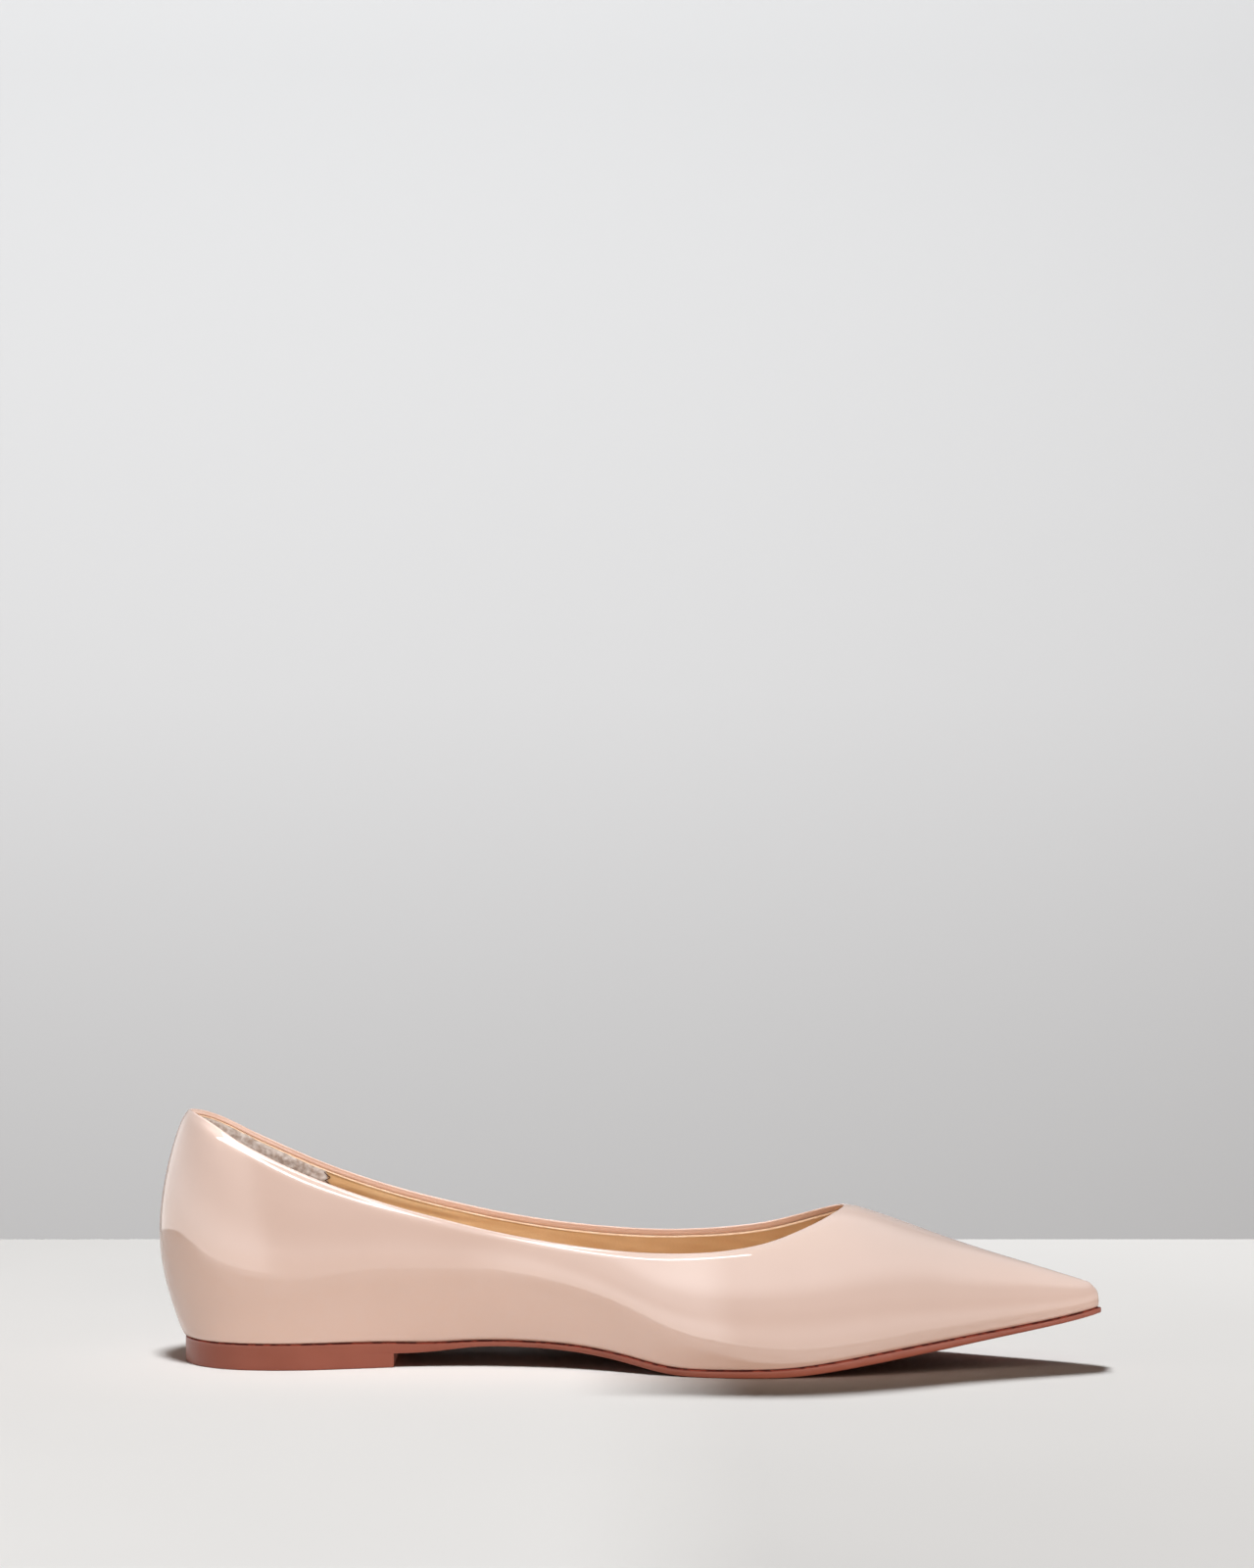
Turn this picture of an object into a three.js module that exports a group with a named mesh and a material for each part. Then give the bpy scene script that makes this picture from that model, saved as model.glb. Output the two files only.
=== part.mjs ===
// A pointed ballet flat for the left foot, in millimetres, +X to the toe, +Z up.
// Its pieces are an upper, an insole, an outsole and a low heel. The foot's inner
// side faces -Y. The origin lies on the floor, under the middle of the shoe.
import * as THREE from 'three';

// Overall sizes
const length = 262;
const ballWidth = 78;
const backHeight = 70.4;
const sideHeight = 33.0;
const throatHeight = 43.7;
const throatAt = 191.2;
const heelCentre = 33;
const toeCentre = 252;

// Sole and heel
const heelLift = 3.9;
const archRise = 1.7;
const toeSpring = 12.8;
const seatThickness = 3.0;
const foreThickness = 2.0;
const breastAt = 66;
const soleEdge = 1.0;
const edgeBevel = 0.4;

// Upper and insole
const wall = 2.0;
const foldedWall = 1.3;
const foldedBand = 1.7;
const marginWidth = 7.0;
const marginThickness = 1.0;
const featherRound = 0.9;
const insoleThickness = 2.0;
const insoleInset = 0.6;
const toeBoxDepth = 5.0;
const clearance = 0.3;

// The least that stays of a narrow section, as shares of its own reach
const marginLimit = 0.6;
const roundLimit = 0.2;
const leastReach = 0.25;

// Mesh fineness, in steps
const stepsAlong = 34;
const ridgeSteps = 6;
const wallSteps = 8;
const soleStepsAcross = 8;
const insoleStepsAcross = 6;

// The last, one row for each section from the heel to the toe.
// at: where the section starts, as a share of the length. turn: how far it is
// swung towards the heel or the toe, in degrees, in the fans round both ends.
// The next eight are its reach from the middle at the feather, the belly, the
// upper side and the shoulder, inner and outer, as shares of the ball width.
// back and throat: the height of its crown, in shares of those two heights.
// edge: how far the sole stands out there, as a share of the sole's edge.
const columns = ['at', 'turn', 'footIn', 'footOut', 'bellyIn', 'bellyOut', 'upperIn',
  'upperOut', 'shoulderIn', 'shoulderOut', 'back', 'throat', 'edge'];
const heelAt = heelCentre / length;
const toeAt = toeCentre / length;
const sections = [
  [heelAt, 90, 0.356, 0.356, 0.484, 0.484, 0.446, 0.446, 0.352, 0.352, 1.35, 0.00, -0.4],
  [heelAt, 58, 0.351, 0.351, 0.438, 0.438, 0.387, 0.387, 0.244, 0.244, 1.35, 0.00, -0.2],
  [heelAt, 26, 0.344, 0.346, 0.405, 0.410, 0.314, 0.321, 0.172, 0.174, 1.35, 0.00, 0.1],
  [0.160, 0, 0.323, 0.328, 0.372, 0.385, 0.254, 0.264, 0.131, 0.136, 1.20, 0.20, 0.3],
  [0.252, 0, 0.212, 0.321, 0.333, 0.378, 0.238, 0.254, 0.128, 0.136, 0.90, 0.54, 0.5],
  [0.351, 0, 0.179, 0.346, 0.321, 0.391, 0.236, 0.262, 0.133, 0.144, 0.60, 0.80, 0.5],
  [0.450, 0, 0.262, 0.404, 0.372, 0.436, 0.280, 0.305, 0.162, 0.175, 0.30, 1.03, 0.5],
  [0.542, 0, 0.466, 0.481, 0.481, 0.487, 0.350, 0.345, 0.215, 0.215, 0.10, 1.19, 0.6],
  [0.641, 0, 0.526, 0.487, 0.519, 0.481, 0.430, 0.404, 0.285, 0.272, 0.00, 1.225, 0.7],
  [0.748, 0, 0.417, 0.397, 0.408, 0.397, 0.340, 0.333, 0.218, 0.212, 0.00, 1.045, 0.8],
  [0.847, 0, 0.231, 0.256, 0.228, 0.254, 0.186, 0.205, 0.109, 0.122, 0.00, 0.790, 0.9],
  [0.924, 0, 0.113, 0.141, 0.113, 0.140, 0.094, 0.115, 0.059, 0.072, 0.00, 0.645, 1.0],
  [0.981, 0, 0.054, 0.062, 0.054, 0.062, 0.046, 0.053, 0.028, 0.033, 0.00, 0.527, 1.0],
  [toeAt, -90, 0.164, 0.164, 0.164, 0.164, 0.158, 0.158, 0.137, 0.137, 0.00, 0.446, 1.0],
].map((row) => Object.fromEntries(columns.map((name, i) => [name, row[i]])));
const last = sections.length - 1;

// Heights of a section's levels over the feather, as shares of its crown's height.
const lowShare = 0.16;
const lowHeight = 0.04;
const levelShares = [0.27, 0.545, 0.81];
const tipShares = [0.17, 0.35, 0.55, 0.72];
const topLevel = 7;

// The underside of the sole from heel to toe, in even steps of the length.
// lift, arch and spring: its height, in shares of the sizes of those names.
// seat and fore: its thickness, in shares of the two thicknesses.
const soleSteps = 24;
const seatRow = { lift: 1, arch: 0, spring: 0, seat: 1, fore: 0 };
const soleLine = [
  ...Array(6).fill(seatRow),
  { lift: 1, arch: 0, spring: 0, seat: 0.93, fore: 0 },
  { lift: 1, arch: 0, spring: 0, seat: 0.54, fore: 0.3 },
  { lift: 1, arch: 0.95, spring: 0, seat: 0.12, fore: 0.5 },
  { lift: 1, arch: 1, spring: 0, seat: 0, fore: 0.66 },
  { lift: 0.93, arch: 1, spring: 0, seat: 0, fore: 0.7 },
  { lift: 0.8, arch: 0.8, spring: 0, seat: 0, fore: 0.78 },
  { lift: 0.5, arch: 0.42, spring: 0, seat: 0, fore: 0.83 },
  { lift: 0, arch: 0, spring: 0, seat: 0, fore: 0.85 },
  { lift: 0, arch: 0, spring: 0, seat: 0, fore: 0.88 },
  { lift: 0, arch: 0, spring: 0, seat: 0, fore: 0.93 },
  { lift: 0, arch: 0, spring: 0, seat: 0, fore: 1.0 },
  { lift: 0, arch: 0, spring: 0.085, seat: 0, fore: 1.1 },
  { lift: 0, arch: 0, spring: 0.2, seat: 0, fore: 1.14 },
  { lift: 0, arch: 0, spring: 0.315, seat: 0, fore: 1.12 },
  { lift: 0, arch: 0, spring: 0.43, seat: 0, fore: 1.02 },
  { lift: 0, arch: 0, spring: 0.557, seat: 0, fore: 0.9 },
  { lift: 0, arch: 0, spring: 0.683, seat: 0, fore: 0.78 },
  { lift: 0, arch: 0, spring: 0.82, seat: 0, fore: 0.73 },
  { lift: 0, arch: 0, spring: 1.0, seat: 0, fore: 0.72 },
  { lift: 0, arch: 0, spring: 1.22, seat: 0, fore: 0.72 },
  { lift: 0, arch: 0, spring: 1.44, seat: 0, fore: 0.72 },
];
const soleHeights = soleLine.map((r) => r.lift * heelLift + r.arch * archRise + r.spring * toeSpring);
const soleDepths = soleLine.map((r) => r.seat * seatThickness + r.fore * foreThickness);

// The topline: rear and front rows give its height between the side's and the
// back's or the throat's, and at is a share of the way from the back to the throat.
const collarLine = [
  { at: 0.000, back: 1.018, throat: 0 },
  { at: 0.049, back: 0.974, throat: 0 },
  { at: 0.139, back: 0.752, throat: 0 },
  { at: 0.253, back: 0.489, throat: 0 },
  { at: 0.339, back: 0.331, throat: 0 },
  { at: 0.425, back: 0.212, throat: 0 },
  { at: 0.510, back: 0.117, throat: 0 },
  { at: 0.596, back: 0.051, throat: 0 },
  { at: 0.683, back: 0.010, throat: 0 },
  { at: 0.769, back: 0, throat: 0.000 },
  { at: 0.826, back: 0, throat: 0.070 },
  { at: 0.884, back: 0, throat: 0.245 },
  { at: 0.941, back: 0, throat: 0.560 },
  { at: 1.000, back: 0, throat: 0.970 },
  { at: 1.124, back: 0, throat: 1.950 },
].map((r) => ({
  x: r.at * throatAt,
  z: sideHeight + r.back * (backHeight - sideHeight) + r.throat * (throatHeight - sideHeight),
}));

// The four weights of a uniform cubic B-spline at t, from 0 to 1.
function weights(t) {
  const s = 1 - t;
  return [s ** 3, 3 * t ** 3 - 6 * t * t + 4, 3 * s ** 3 - 6 * s * s + 4, t ** 3].map((w) => w / 6);
}

function alongSole(values, x) {
  const s = THREE.MathUtils.clamp((x / length) * soleSteps, 0, soleSteps);
  const i = Math.min(Math.floor(s), soleSteps - 1);
  return weights(s - i).reduce((sum, w, a) => sum + w * values[Math.max(i + a - 1, 0)], 0);
}

const soleBottom = (x) => alongSole(soleHeights, x);
const soleTop = (x) => soleBottom(x) + alongSole(soleDepths, x);

// Height of the topline at x, a smooth curve through the rows of its table.
function collarHeight(x) {
  const rows = collarLine;
  let i = rows.findIndex((r) => r.x > x) - 1;
  if (i < 0) i = x <= rows[0].x ? 0 : rows.length - 2;
  const rise = (n) => (rows[n + 1].z - rows[n].z) / (rows[n + 1].x - rows[n].x);
  const slope = (n) => {
    if (n === 0 || n === rows.length - 1) return rise(Math.min(n, rows.length - 2));
    const before = rows[n].x - rows[n - 1].x;
    const after = rows[n + 1].x - rows[n].x;
    return (rise(n - 1) * after + rise(n) * before) / (before + after);
  };
  const step = rows[i + 1].x - rows[i].x;
  const t = (x - rows[i].x) / step;
  const s = 1 - t;
  return s * s * (1 + 2 * t) * rows[i].z + s * s * t * step * slope(i)
    + t * t * (3 - 2 * t) * rows[i + 1].z - t * t * s * step * slope(i + 1);
}

// A section's reach and height at each level, on one side: side is -1 or 1.
function sectionLevels(row, side, isTip) {
  const name = side < 0 ? 'In' : 'Out';
  const [foot, belly, upper, shoulder] = ['foot', 'belly', 'upper', 'shoulder']
    .map((level) => row[level + name] * ballWidth);
  const crown = row.back * backHeight + row.throat * throatHeight
    - soleTop(row.at * length) - clearance;
  const margin = Math.min(marginWidth, marginLimit * foot);
  const reach = [foot - margin, foot - Math.min(featherRound, roundLimit * foot), foot,
    foot + lowShare * (belly - foot), belly, upper, shoulder, 0];
  const shares = isTip ? tipShares : [0, ...levelShares];
  const height = [0, 0, 0, ...shares.map((share) => share * crown), crown];
  if (!isTip) height[3] = lowHeight * (backHeight - sideHeight) + featherRound / 2;
  return { reach, height };
}

// The same levels one wall further in, with the lasting margin's top below.
function innerLevels({ reach, height }) {
  const inner = { reach: [...reach], height: [...height] };
  for (let j = 3; j < topLevel; j += 1) {
    const run = reach[j + 1] - reach[j - 1];
    const rise = height[j + 1] - height[j - 1];
    const slope = Math.hypot(run, rise);
    inner.reach[j] -= (wall * rise) / slope;
    inner.height[j] += (wall * run) / slope;
  }
  inner.height[topLevel] -= wall;
  inner.reach[2] = Math.max(reach[2] - wall, reach[0] + roundLimit * (reach[2] - reach[0]));
  inner.reach[1] = (inner.reach[0] + inner.reach[2]) / 2;
  for (let j = 0; j < 3; j += 1) inner.height[j] = marginThickness;
  inner.height[3] = Math.max(inner.height[3], marginThickness + featherRound);
  return inner;
}

function sectionPoint(row, side, reach, height) {
  const turn = THREE.MathUtils.degToRad(row.turn);
  return new THREE.Vector3(row.at * length - Math.sin(turn) * reach,
    side * Math.cos(turn) * reach, height);
}

// A smooth sheet over the sections. u runs round the shoe, from -last to last by
// the inner side and the outer, and v from the margin's edge up to the crown.
class LastSheet {
  constructor(levelsOf) {
    this.net = [];
    for (let k = -last; k <= last; k += 1) {
      const row = sections[Math.abs(k)];
      const side = k < 0 ? -1 : 1;
      const levels = levelsOf(sectionLevels(row, side, Math.abs(k) === last));
      this.net.push(levels.reach.map((reach, j) => sectionPoint(row, side, reach, levels.height[j])));
    }
    const nose = this.knot(last, topLevel - 1).clone().add(this.knot(last - 1, topLevel)).multiplyScalar(0.5);
    this.net[0][topLevel] = nose;
    this.net[2 * last][topLevel] = nose;
  }

  // A control point, with the net folded over the crown and closed at the tip.
  knot(k, j) {
    if (j < 0) return this.knot(k, 0).clone().multiplyScalar(2).sub(this.knot(k, 1));
    if (j > topLevel) return this.knot(-k, 2 * topLevel - j);
    if (k > last) return this.knot(k - 2 * last, j);
    if (k < -last) return this.knot(k + 2 * last, j);
    return this.net[k + last][j];
  }

  point(u, v) {
    const k = Math.min(Math.floor(u), last - 1);
    const j = Math.min(Math.floor(v), topLevel - 1);
    const across = weights(v - j);
    const sum = new THREE.Vector3();
    weights(u - k).forEach((wk, a) => across.forEach((wj, b) => {
      sum.addScaledVector(this.knot(k + a - 1, j + b - 1), wk * wj);
    }));
    sum.z += soleTop(sum.x) + clearance;
    return sum;
  }
}

// The root of a falling or rising function between low and high.
function solve(test, low, high) {
  let [a, b] = [low, high];
  const sign = Math.sign(test(a));
  for (let n = 0; n < 40; n += 1) {
    const middle = (a + b) / 2;
    if (Math.sign(test(middle)) === sign) a = middle;
    else b = middle;
  }
  return (a + b) / 2;
}

// A closed mesh from rings of points, each joined to the next. Each ring is closed,
// and the last is joined to the first, or both end in a flat fan.
function meshOfRings(rings) {
  const size = rings[0].length;
  const positions = rings.flat().flatMap((p) => [p.x, p.y, p.z]);
  const index = [];
  for (let r = 0; r < rings.length; r += 1) {
    const next = (r + 1) % rings.length;
    for (let i = 0; i < size; i += 1) {
      const n = (i + 1) % size;
      const [a, b, c, d] = [r * size + i, r * size + n, next * size + i, next * size + n];
      index.push(a, d, b, a, c, d);
    }
  }
  const geometry = new THREE.BufferGeometry();
  geometry.setAttribute('position', new THREE.Float32BufferAttribute(positions, 3));
  geometry.setIndex(index);
  geometry.computeVertexNormals();
  return geometry;
}

// The upper is one ring of cross-sections, each a closed loop that runs down the
// outside, in under the foot, back out and up the inside to the folded topline.
const featherLevel = 2;
const underLevels = [1.5, 1, 0.5, 0];
const marginLevels = [0, 0.7, 1.4];
const foldedStep = 1.3;
const throatCrowding = 1.5;
const crownPull = 3;
const capTurns = [135, 90, 45].map(THREE.MathUtils.degToRad);

function upperGeometry() {
  const outer = new LastSheet((levels) => levels);
  const inner = new LastSheet(innerLevels);
  const above = (u, v) => {
    const p = outer.point(u, v);
    return p.z - collarHeight(p.x);
  };
  const throatU = solve((u) => above(u, topLevel), last / 2, last);
  const collarV = (u) => solve((v) => above(u, v), featherLevel + 1, topLevel);

  // One line down the wall, from the topline to the feather. The line at the throat
  // follows the crown to the tip and then goes down it, and those near it bend too.
  const crownLength = last - throatU;
  const tipLength = topLevel - featherLevel;
  const crownShare = crownLength / (crownLength + tipLength);
  const frontLine = (s) => (s < crownShare
    ? [throatU + (s / crownShare) * crownLength, topLevel]
    : [last, topLevel - ((s - crownShare) / (1 - crownShare)) * tipLength]);
  const startOf = (q, side) => {
    const startU = throatU * (1 - (1 - q) ** throatCrowding);
    return [side * startU, q < 1 ? collarV(side * startU) : topLevel];
  };
  const wallLine = (q, side) => {
    const start = startOf(q, side);
    return (s) => {
      const front = frontLine(s);
      const bend = [front[0] - throatU - s * crownLength, front[1] - topLevel + s * tipLength];
      return [
        start[0] + s * side * (q * last - side * start[0]) + side * q ** crownPull * bend[0],
        start[1] + s * (featherLevel - start[1]) + q ** crownPull * bend[1],
      ];
    };
  };
  // The way along the topline at q, which at both ends is straight across.
  const acrossAt = (q, side) => {
    if (q === 0 || q === 1) return new THREE.Vector3(0, 1, 0);
    const step = 0.2 / stepsAlong;
    return outer.point(...startOf(q + step, side)).sub(outer.point(...startOf(q - step, side)));
  };
  const shares = [];
  for (let n = 0; n < ridgeSteps; n += 1) shares.push((crownShare * n) / ridgeSteps);
  for (let n = 0; n <= wallSteps; n += 1) shares.push(crownShare + ((1 - crownShare) * n) / wallSteps);

  const section = (q, side) => {
    const line = wallLine(q, side);
    const outside = (s) => outer.point(...line(s));
    const inside = (s, thickness) => outside(s).lerp(inner.point(...line(s)), thickness / wall);
    const u = side * q * last;
    const loop = shares.map(outside);
    const lineLength = loop.reduce((sum, p, n) => (n ? sum + p.distanceTo(loop[n - 1]) : 0), 0);
    const band = foldedBand / lineLength;
    for (const v of underLevels) loop.push(outer.point(u, v));
    for (const v of marginLevels) loop.push(inner.point(u, v));
    for (const s of [...shares].reverse()) {
      loop.push(inside(foldedStep * band + s * (1 - foldedStep * band), wall));
    }
    loop.push(inside(band, foldedWall));
    const innerEdge = inside(0, foldedWall);
    loop.push(innerEdge);
    const edge = outside(0);
    const down = outside(band).sub(edge);
    const up = acrossAt(q, side).cross(edge.clone().sub(innerEdge)).normalize();
    if (up.dot(down) > 0) up.negate();
    const half = edge.clone().sub(innerEdge).multiplyScalar(0.5);
    for (const turn of capTurns) {
      loop.push(edge.clone().sub(half).addScaledVector(half, Math.cos(turn))
        .addScaledVector(up, half.length() * Math.sin(turn)));
    }
    return loop;
  };

  const rings = [];
  for (let n = 0; n <= stepsAlong; n += 1) rings.push(section(n / stepsAlong, 1));
  for (let n = stepsAlong - 1; n > 0; n -= 1) rings.push(section(n / stepsAlong, -1));
  return meshOfRings(rings);
}

// The outline of a flat piece: the last's feather line moved in or out by each
// section's own amount. Returns the point at u, round the shoe as above.
function footOutline(shift) {
  const knots = [];
  for (let k = -last; k <= last; k += 1) {
    const row = sections[Math.abs(k)];
    const side = k < 0 ? -1 : 1;
    const foot = (side < 0 ? row.footIn : row.footOut) * ballWidth;
    const reach = Math.max(foot + shift(row), leastReach * foot);
    knots.push(sectionPoint(row, side, reach, 0));
  }
  return (u) => {
    const k = Math.min(Math.floor(u), last - 1);
    const point = new THREE.Vector3();
    weights(u - k).forEach((w, a) => {
      let n = k + a - 1;
      if (n > last) n -= 2 * last;
      if (n < -last) n += 2 * last;
      point.addScaledVector(knots[n + last], w);
    });
    return point;
  };
}

// A slab over a foot outline. layers run from its top to its bottom, each with the
// outline it follows and the height of its surface at x.
function slabGeometry(layers, steps, across) {
  const positions = [];
  const index = [];
  const rims = layers.map(({ outline, height }) => {
    const rim = [];
    for (let n = 0; n < 2 * steps; n += 1) {
      const u = n <= steps ? (-n / steps) * last : (2 - n / steps) * last;
      const p = outline(u);
      rim.push(positions.length / 3);
      positions.push(p.x, p.y, height(p.x));
    }
    return rim;
  });
  const corner = (rim, n) => new THREE.Vector3().fromArray(positions, 3 * rim[n]);
  const faces = [[rims[0], layers[0], 1], [rims.at(-1), layers.at(-1), -1]];
  for (const [rim, layer, facing] of faces) {
    const lines = [];
    for (let n = 0; n <= steps; n += 1) {
      const other = (2 * steps - n) % (2 * steps);
      const line = [rim[n]];
      for (let i = 1; i < across && n > 0 && n < steps; i += 1) {
        const p = corner(rim, n).lerp(corner(rim, other), i / across);
        line.push(positions.length / 3);
        positions.push(p.x, p.y, layer.height(p.x));
      }
      if (n > 0 && n < steps) line.push(rim[other]);
      lines.push(line);
    }
    for (let n = 0; n < steps; n += 1) {
      const [from, to] = [lines[n], lines[n + 1]];
      for (let i = 0; i < across; i += 1) {
        const a = from[Math.min(i, from.length - 1)];
        const b = from[Math.min(i + 1, from.length - 1)];
        const c = to[Math.min(i, to.length - 1)];
        const d = to[Math.min(i + 1, to.length - 1)];
        for (const face of [[a, b, d], [a, d, c]]) {
          if (new Set(face).size === 3) index.push(...(facing > 0 ? face.reverse() : face));
        }
      }
    }
  }
  for (let r = 0; r + 1 < rims.length; r += 1) {
    for (let n = 0; n < 2 * steps; n += 1) {
      const m = (n + 1) % (2 * steps);
      index.push(rims[r][n], rims[r + 1][n], rims[r + 1][m], rims[r][n], rims[r + 1][m], rims[r][m]);
    }
  }
  const geometry = new THREE.BufferGeometry();
  geometry.setAttribute('position', new THREE.Float32BufferAttribute(positions, 3));
  geometry.setIndex(index);
  geometry.computeVertexNormals();
  return geometry;
}

const treadOutline = footOutline((row) => row.edge * soleEdge);
const treadInset = footOutline((row) => row.edge * soleEdge - edgeBevel);

function outsoleGeometry() {
  return slabGeometry([
    { outline: treadOutline, height: soleTop },
    { outline: treadOutline, height: (x) => soleBottom(x) + edgeBevel },
    { outline: treadInset, height: soleBottom },
  ], stepsAlong, soleStepsAcross);
}

function insoleGeometry() {
  const drop = (row) => (row.turn < 0 ? toeBoxDepth : 0);
  const seat = (x) => soleTop(x) + 2 * clearance + marginThickness;
  const top = footOutline((row) => -wall - insoleInset - drop(row));
  const bottom = footOutline((row) => -wall - 2 * insoleInset - drop(row));
  return slabGeometry([
    { outline: top, height: (x) => seat(x) + insoleThickness },
    { outline: bottom, height: seat },
  ], stepsAlong, insoleStepsAcross);
}

// The heel is the rear of the tread outline, closed by its breast, down to the floor.
function heelGeometry() {
  const limit = (outline, side) => side * solve((u) => outline(side * u).x - breastAt, 0, last / 2);
  const rim = (outline) => {
    const [from, to] = [limit(outline, -1), limit(outline, 1)];
    const points = [];
    for (let n = 0; n <= stepsAlong; n += 1) points.push(outline(to + (n / stepsAlong) * (from - to)));
    return points.map((p) => new THREE.Vector2(p.x, p.y));
  };
  const rings = [[rim(treadOutline), heelLift], [rim(treadOutline), edgeBevel], [rim(treadInset), 0]];
  const size = stepsAlong + 1;
  const positions = rings.flatMap(([points, z]) => points.flatMap((p) => [p.x, p.y, z]));
  const index = [];
  for (let r = 0; r < rings.length - 1; r += 1) {
    for (let n = 0; n < size; n += 1) {
      const m = (n + 1) % size;
      const [a, b] = [r * size, (r + 1) * size];
      index.push(a + n, b + n, b + m, a + n, b + m, a + m);
    }
  }
  for (const [ring, facing] of [[0, 1], [rings.length - 1, -1]]) {
    for (const face of THREE.ShapeUtils.triangulateShape(rings[ring][0], [])) {
      const corners = face.map((n) => ring * size + n);
      index.push(...(facing > 0 ? corners : corners.reverse()));
    }
  }
  const geometry = new THREE.BufferGeometry();
  geometry.setAttribute('position', new THREE.Float32BufferAttribute(positions, 3));
  geometry.setIndex(index);
  geometry.computeVertexNormals();
  return geometry;
}

const patent = new THREE.MeshStandardMaterial({ color: '#dcbba8', roughness: 0.12, metalness: 0 });
const terracotta = new THREE.MeshStandardMaterial({ color: '#a55c4b', roughness: 0.45, metalness: 0 });
const tanLeather = new THREE.MeshStandardMaterial({ color: '#cea780', roughness: 0.6, metalness: 0 });

function piece(name, geometry, material) {
  const mesh = new THREE.Mesh(geometry, material);
  mesh.name = name;
  return mesh;
}

const shoe = new THREE.Group();
shoe.add(
  piece('upper', upperGeometry(), patent),
  piece('insole', insoleGeometry(), tanLeather),
  piece('outsole', outsoleGeometry(), terracotta),
  piece('heel', heelGeometry(), terracotta),
);
const box = new THREE.Box3().setFromObject(shoe);
shoe.position.set(-(box.min.x + box.max.x) / 2, -(box.min.y + box.max.y) / 2, 0);

export default shoe;
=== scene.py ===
# A pointed patent ballet flat for the left foot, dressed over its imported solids.
import math

import bmesh
import bpy
import numpy as np
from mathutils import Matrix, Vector


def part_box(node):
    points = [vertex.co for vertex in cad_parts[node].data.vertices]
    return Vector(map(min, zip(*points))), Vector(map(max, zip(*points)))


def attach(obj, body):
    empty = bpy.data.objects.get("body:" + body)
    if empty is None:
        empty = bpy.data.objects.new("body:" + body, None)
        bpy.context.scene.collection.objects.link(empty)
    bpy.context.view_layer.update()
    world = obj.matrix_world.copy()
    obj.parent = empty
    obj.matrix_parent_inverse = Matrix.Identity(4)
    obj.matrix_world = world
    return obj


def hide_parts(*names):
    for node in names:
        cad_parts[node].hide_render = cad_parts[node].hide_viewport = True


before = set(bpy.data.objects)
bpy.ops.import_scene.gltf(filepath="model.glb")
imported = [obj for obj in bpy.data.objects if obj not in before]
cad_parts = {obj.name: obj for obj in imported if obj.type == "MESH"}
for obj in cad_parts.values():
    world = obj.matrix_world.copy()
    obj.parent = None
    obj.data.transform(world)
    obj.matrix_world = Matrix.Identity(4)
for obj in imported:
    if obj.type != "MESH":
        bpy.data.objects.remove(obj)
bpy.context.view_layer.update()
bpy.context.view_layer.update()

# Sizes of the shoe in millimetres, as in the part's own source.
MM = 0.001
LENGTH = 262.0
BALL_WIDTH = 78.0
BACK_HEIGHT = 70.4
SIDE_HEIGHT = 33.0
THROAT_HEIGHT = 43.7
THROAT_AT = 191.2
HEEL_CENTRE = 33.0
TOE_CENTRE = 252.0
HEEL_LIFT = 3.9
ARCH_RISE = 1.7
TOE_SPRING = 12.8
SEAT_THICKNESS = 3.0
FORE_THICKNESS = 2.0
BREAST_AT = 66.0
SOLE_EDGE = 1.0
WALL = 2.0
MARGIN_WIDTH = 7.0
MARGIN_THICKNESS = 1.0
FEATHER_ROUND = 0.9
INSOLE_THICKNESS = 2.0
INSOLE_INSET = 0.6
TOE_BOX_DEPTH = 5.0
CLEARANCE = 0.3
MARGIN_LIMIT = 0.6
ROUND_LIMIT = 0.2
LEAST_REACH = 0.25

# The last's sections from heel to toe: place, turn in degrees, the reach of foot,
# belly, upper side and shoulder, inner and outer, as shares of the ball width, the
# crown's height in shares of back and throat, and the sole edge's share.
HEEL_AT = HEEL_CENTRE / LENGTH
TOE_AT = TOE_CENTRE / LENGTH
SECTIONS = [
    (HEEL_AT, 90, .356, .356, .484, .484, .446, .446, .352, .352, 1.35, 0.00, -0.4),
    (HEEL_AT, 58, .351, .351, .438, .438, .387, .387, .244, .244, 1.35, 0.00, -0.2),
    (HEEL_AT, 26, .344, .346, .405, .410, .314, .321, .172, .174, 1.35, 0.00, 0.1),
    (0.160, 0, .323, .328, .372, .385, .254, .264, .131, .136, 1.20, 0.20, 0.3),
    (0.252, 0, .212, .321, .333, .378, .238, .254, .128, .136, 0.90, 0.54, 0.5),
    (0.351, 0, .179, .346, .321, .391, .236, .262, .133, .144, 0.60, 0.80, 0.5),
    (0.450, 0, .262, .404, .372, .436, .280, .305, .162, .175, 0.30, 1.03, 0.5),
    (0.542, 0, .466, .481, .481, .487, .350, .345, .215, .215, 0.10, 1.19, 0.6),
    (0.641, 0, .526, .487, .519, .481, .430, .404, .285, .272, 0.00, 1.225, 0.7),
    (0.748, 0, .417, .397, .408, .397, .340, .333, .218, .212, 0.00, 1.045, 0.8),
    (0.847, 0, .231, .256, .228, .254, .186, .205, .109, .122, 0.00, 0.790, 0.9),
    (0.924, 0, .113, .141, .113, .140, .094, .115, .059, .072, 0.00, 0.645, 1.0),
    (0.981, 0, .054, .062, .054, .062, .046, .053, .028, .033, 0.00, 0.527, 1.0),
    (TOE_AT, -90, .164, .164, .164, .164, .158, .158, .137, .137, 0.00, 0.446, 1.0),
]
LAST = len(SECTIONS) - 1
LOW_SHARE = 0.16
LOW_HEIGHT = 0.04
LEVEL_SHARES = (0.27, 0.545, 0.81)
TIP_SHARES = (0.17, 0.35, 0.55, 0.72)
TOP = 7
FEATHER = 2

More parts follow.
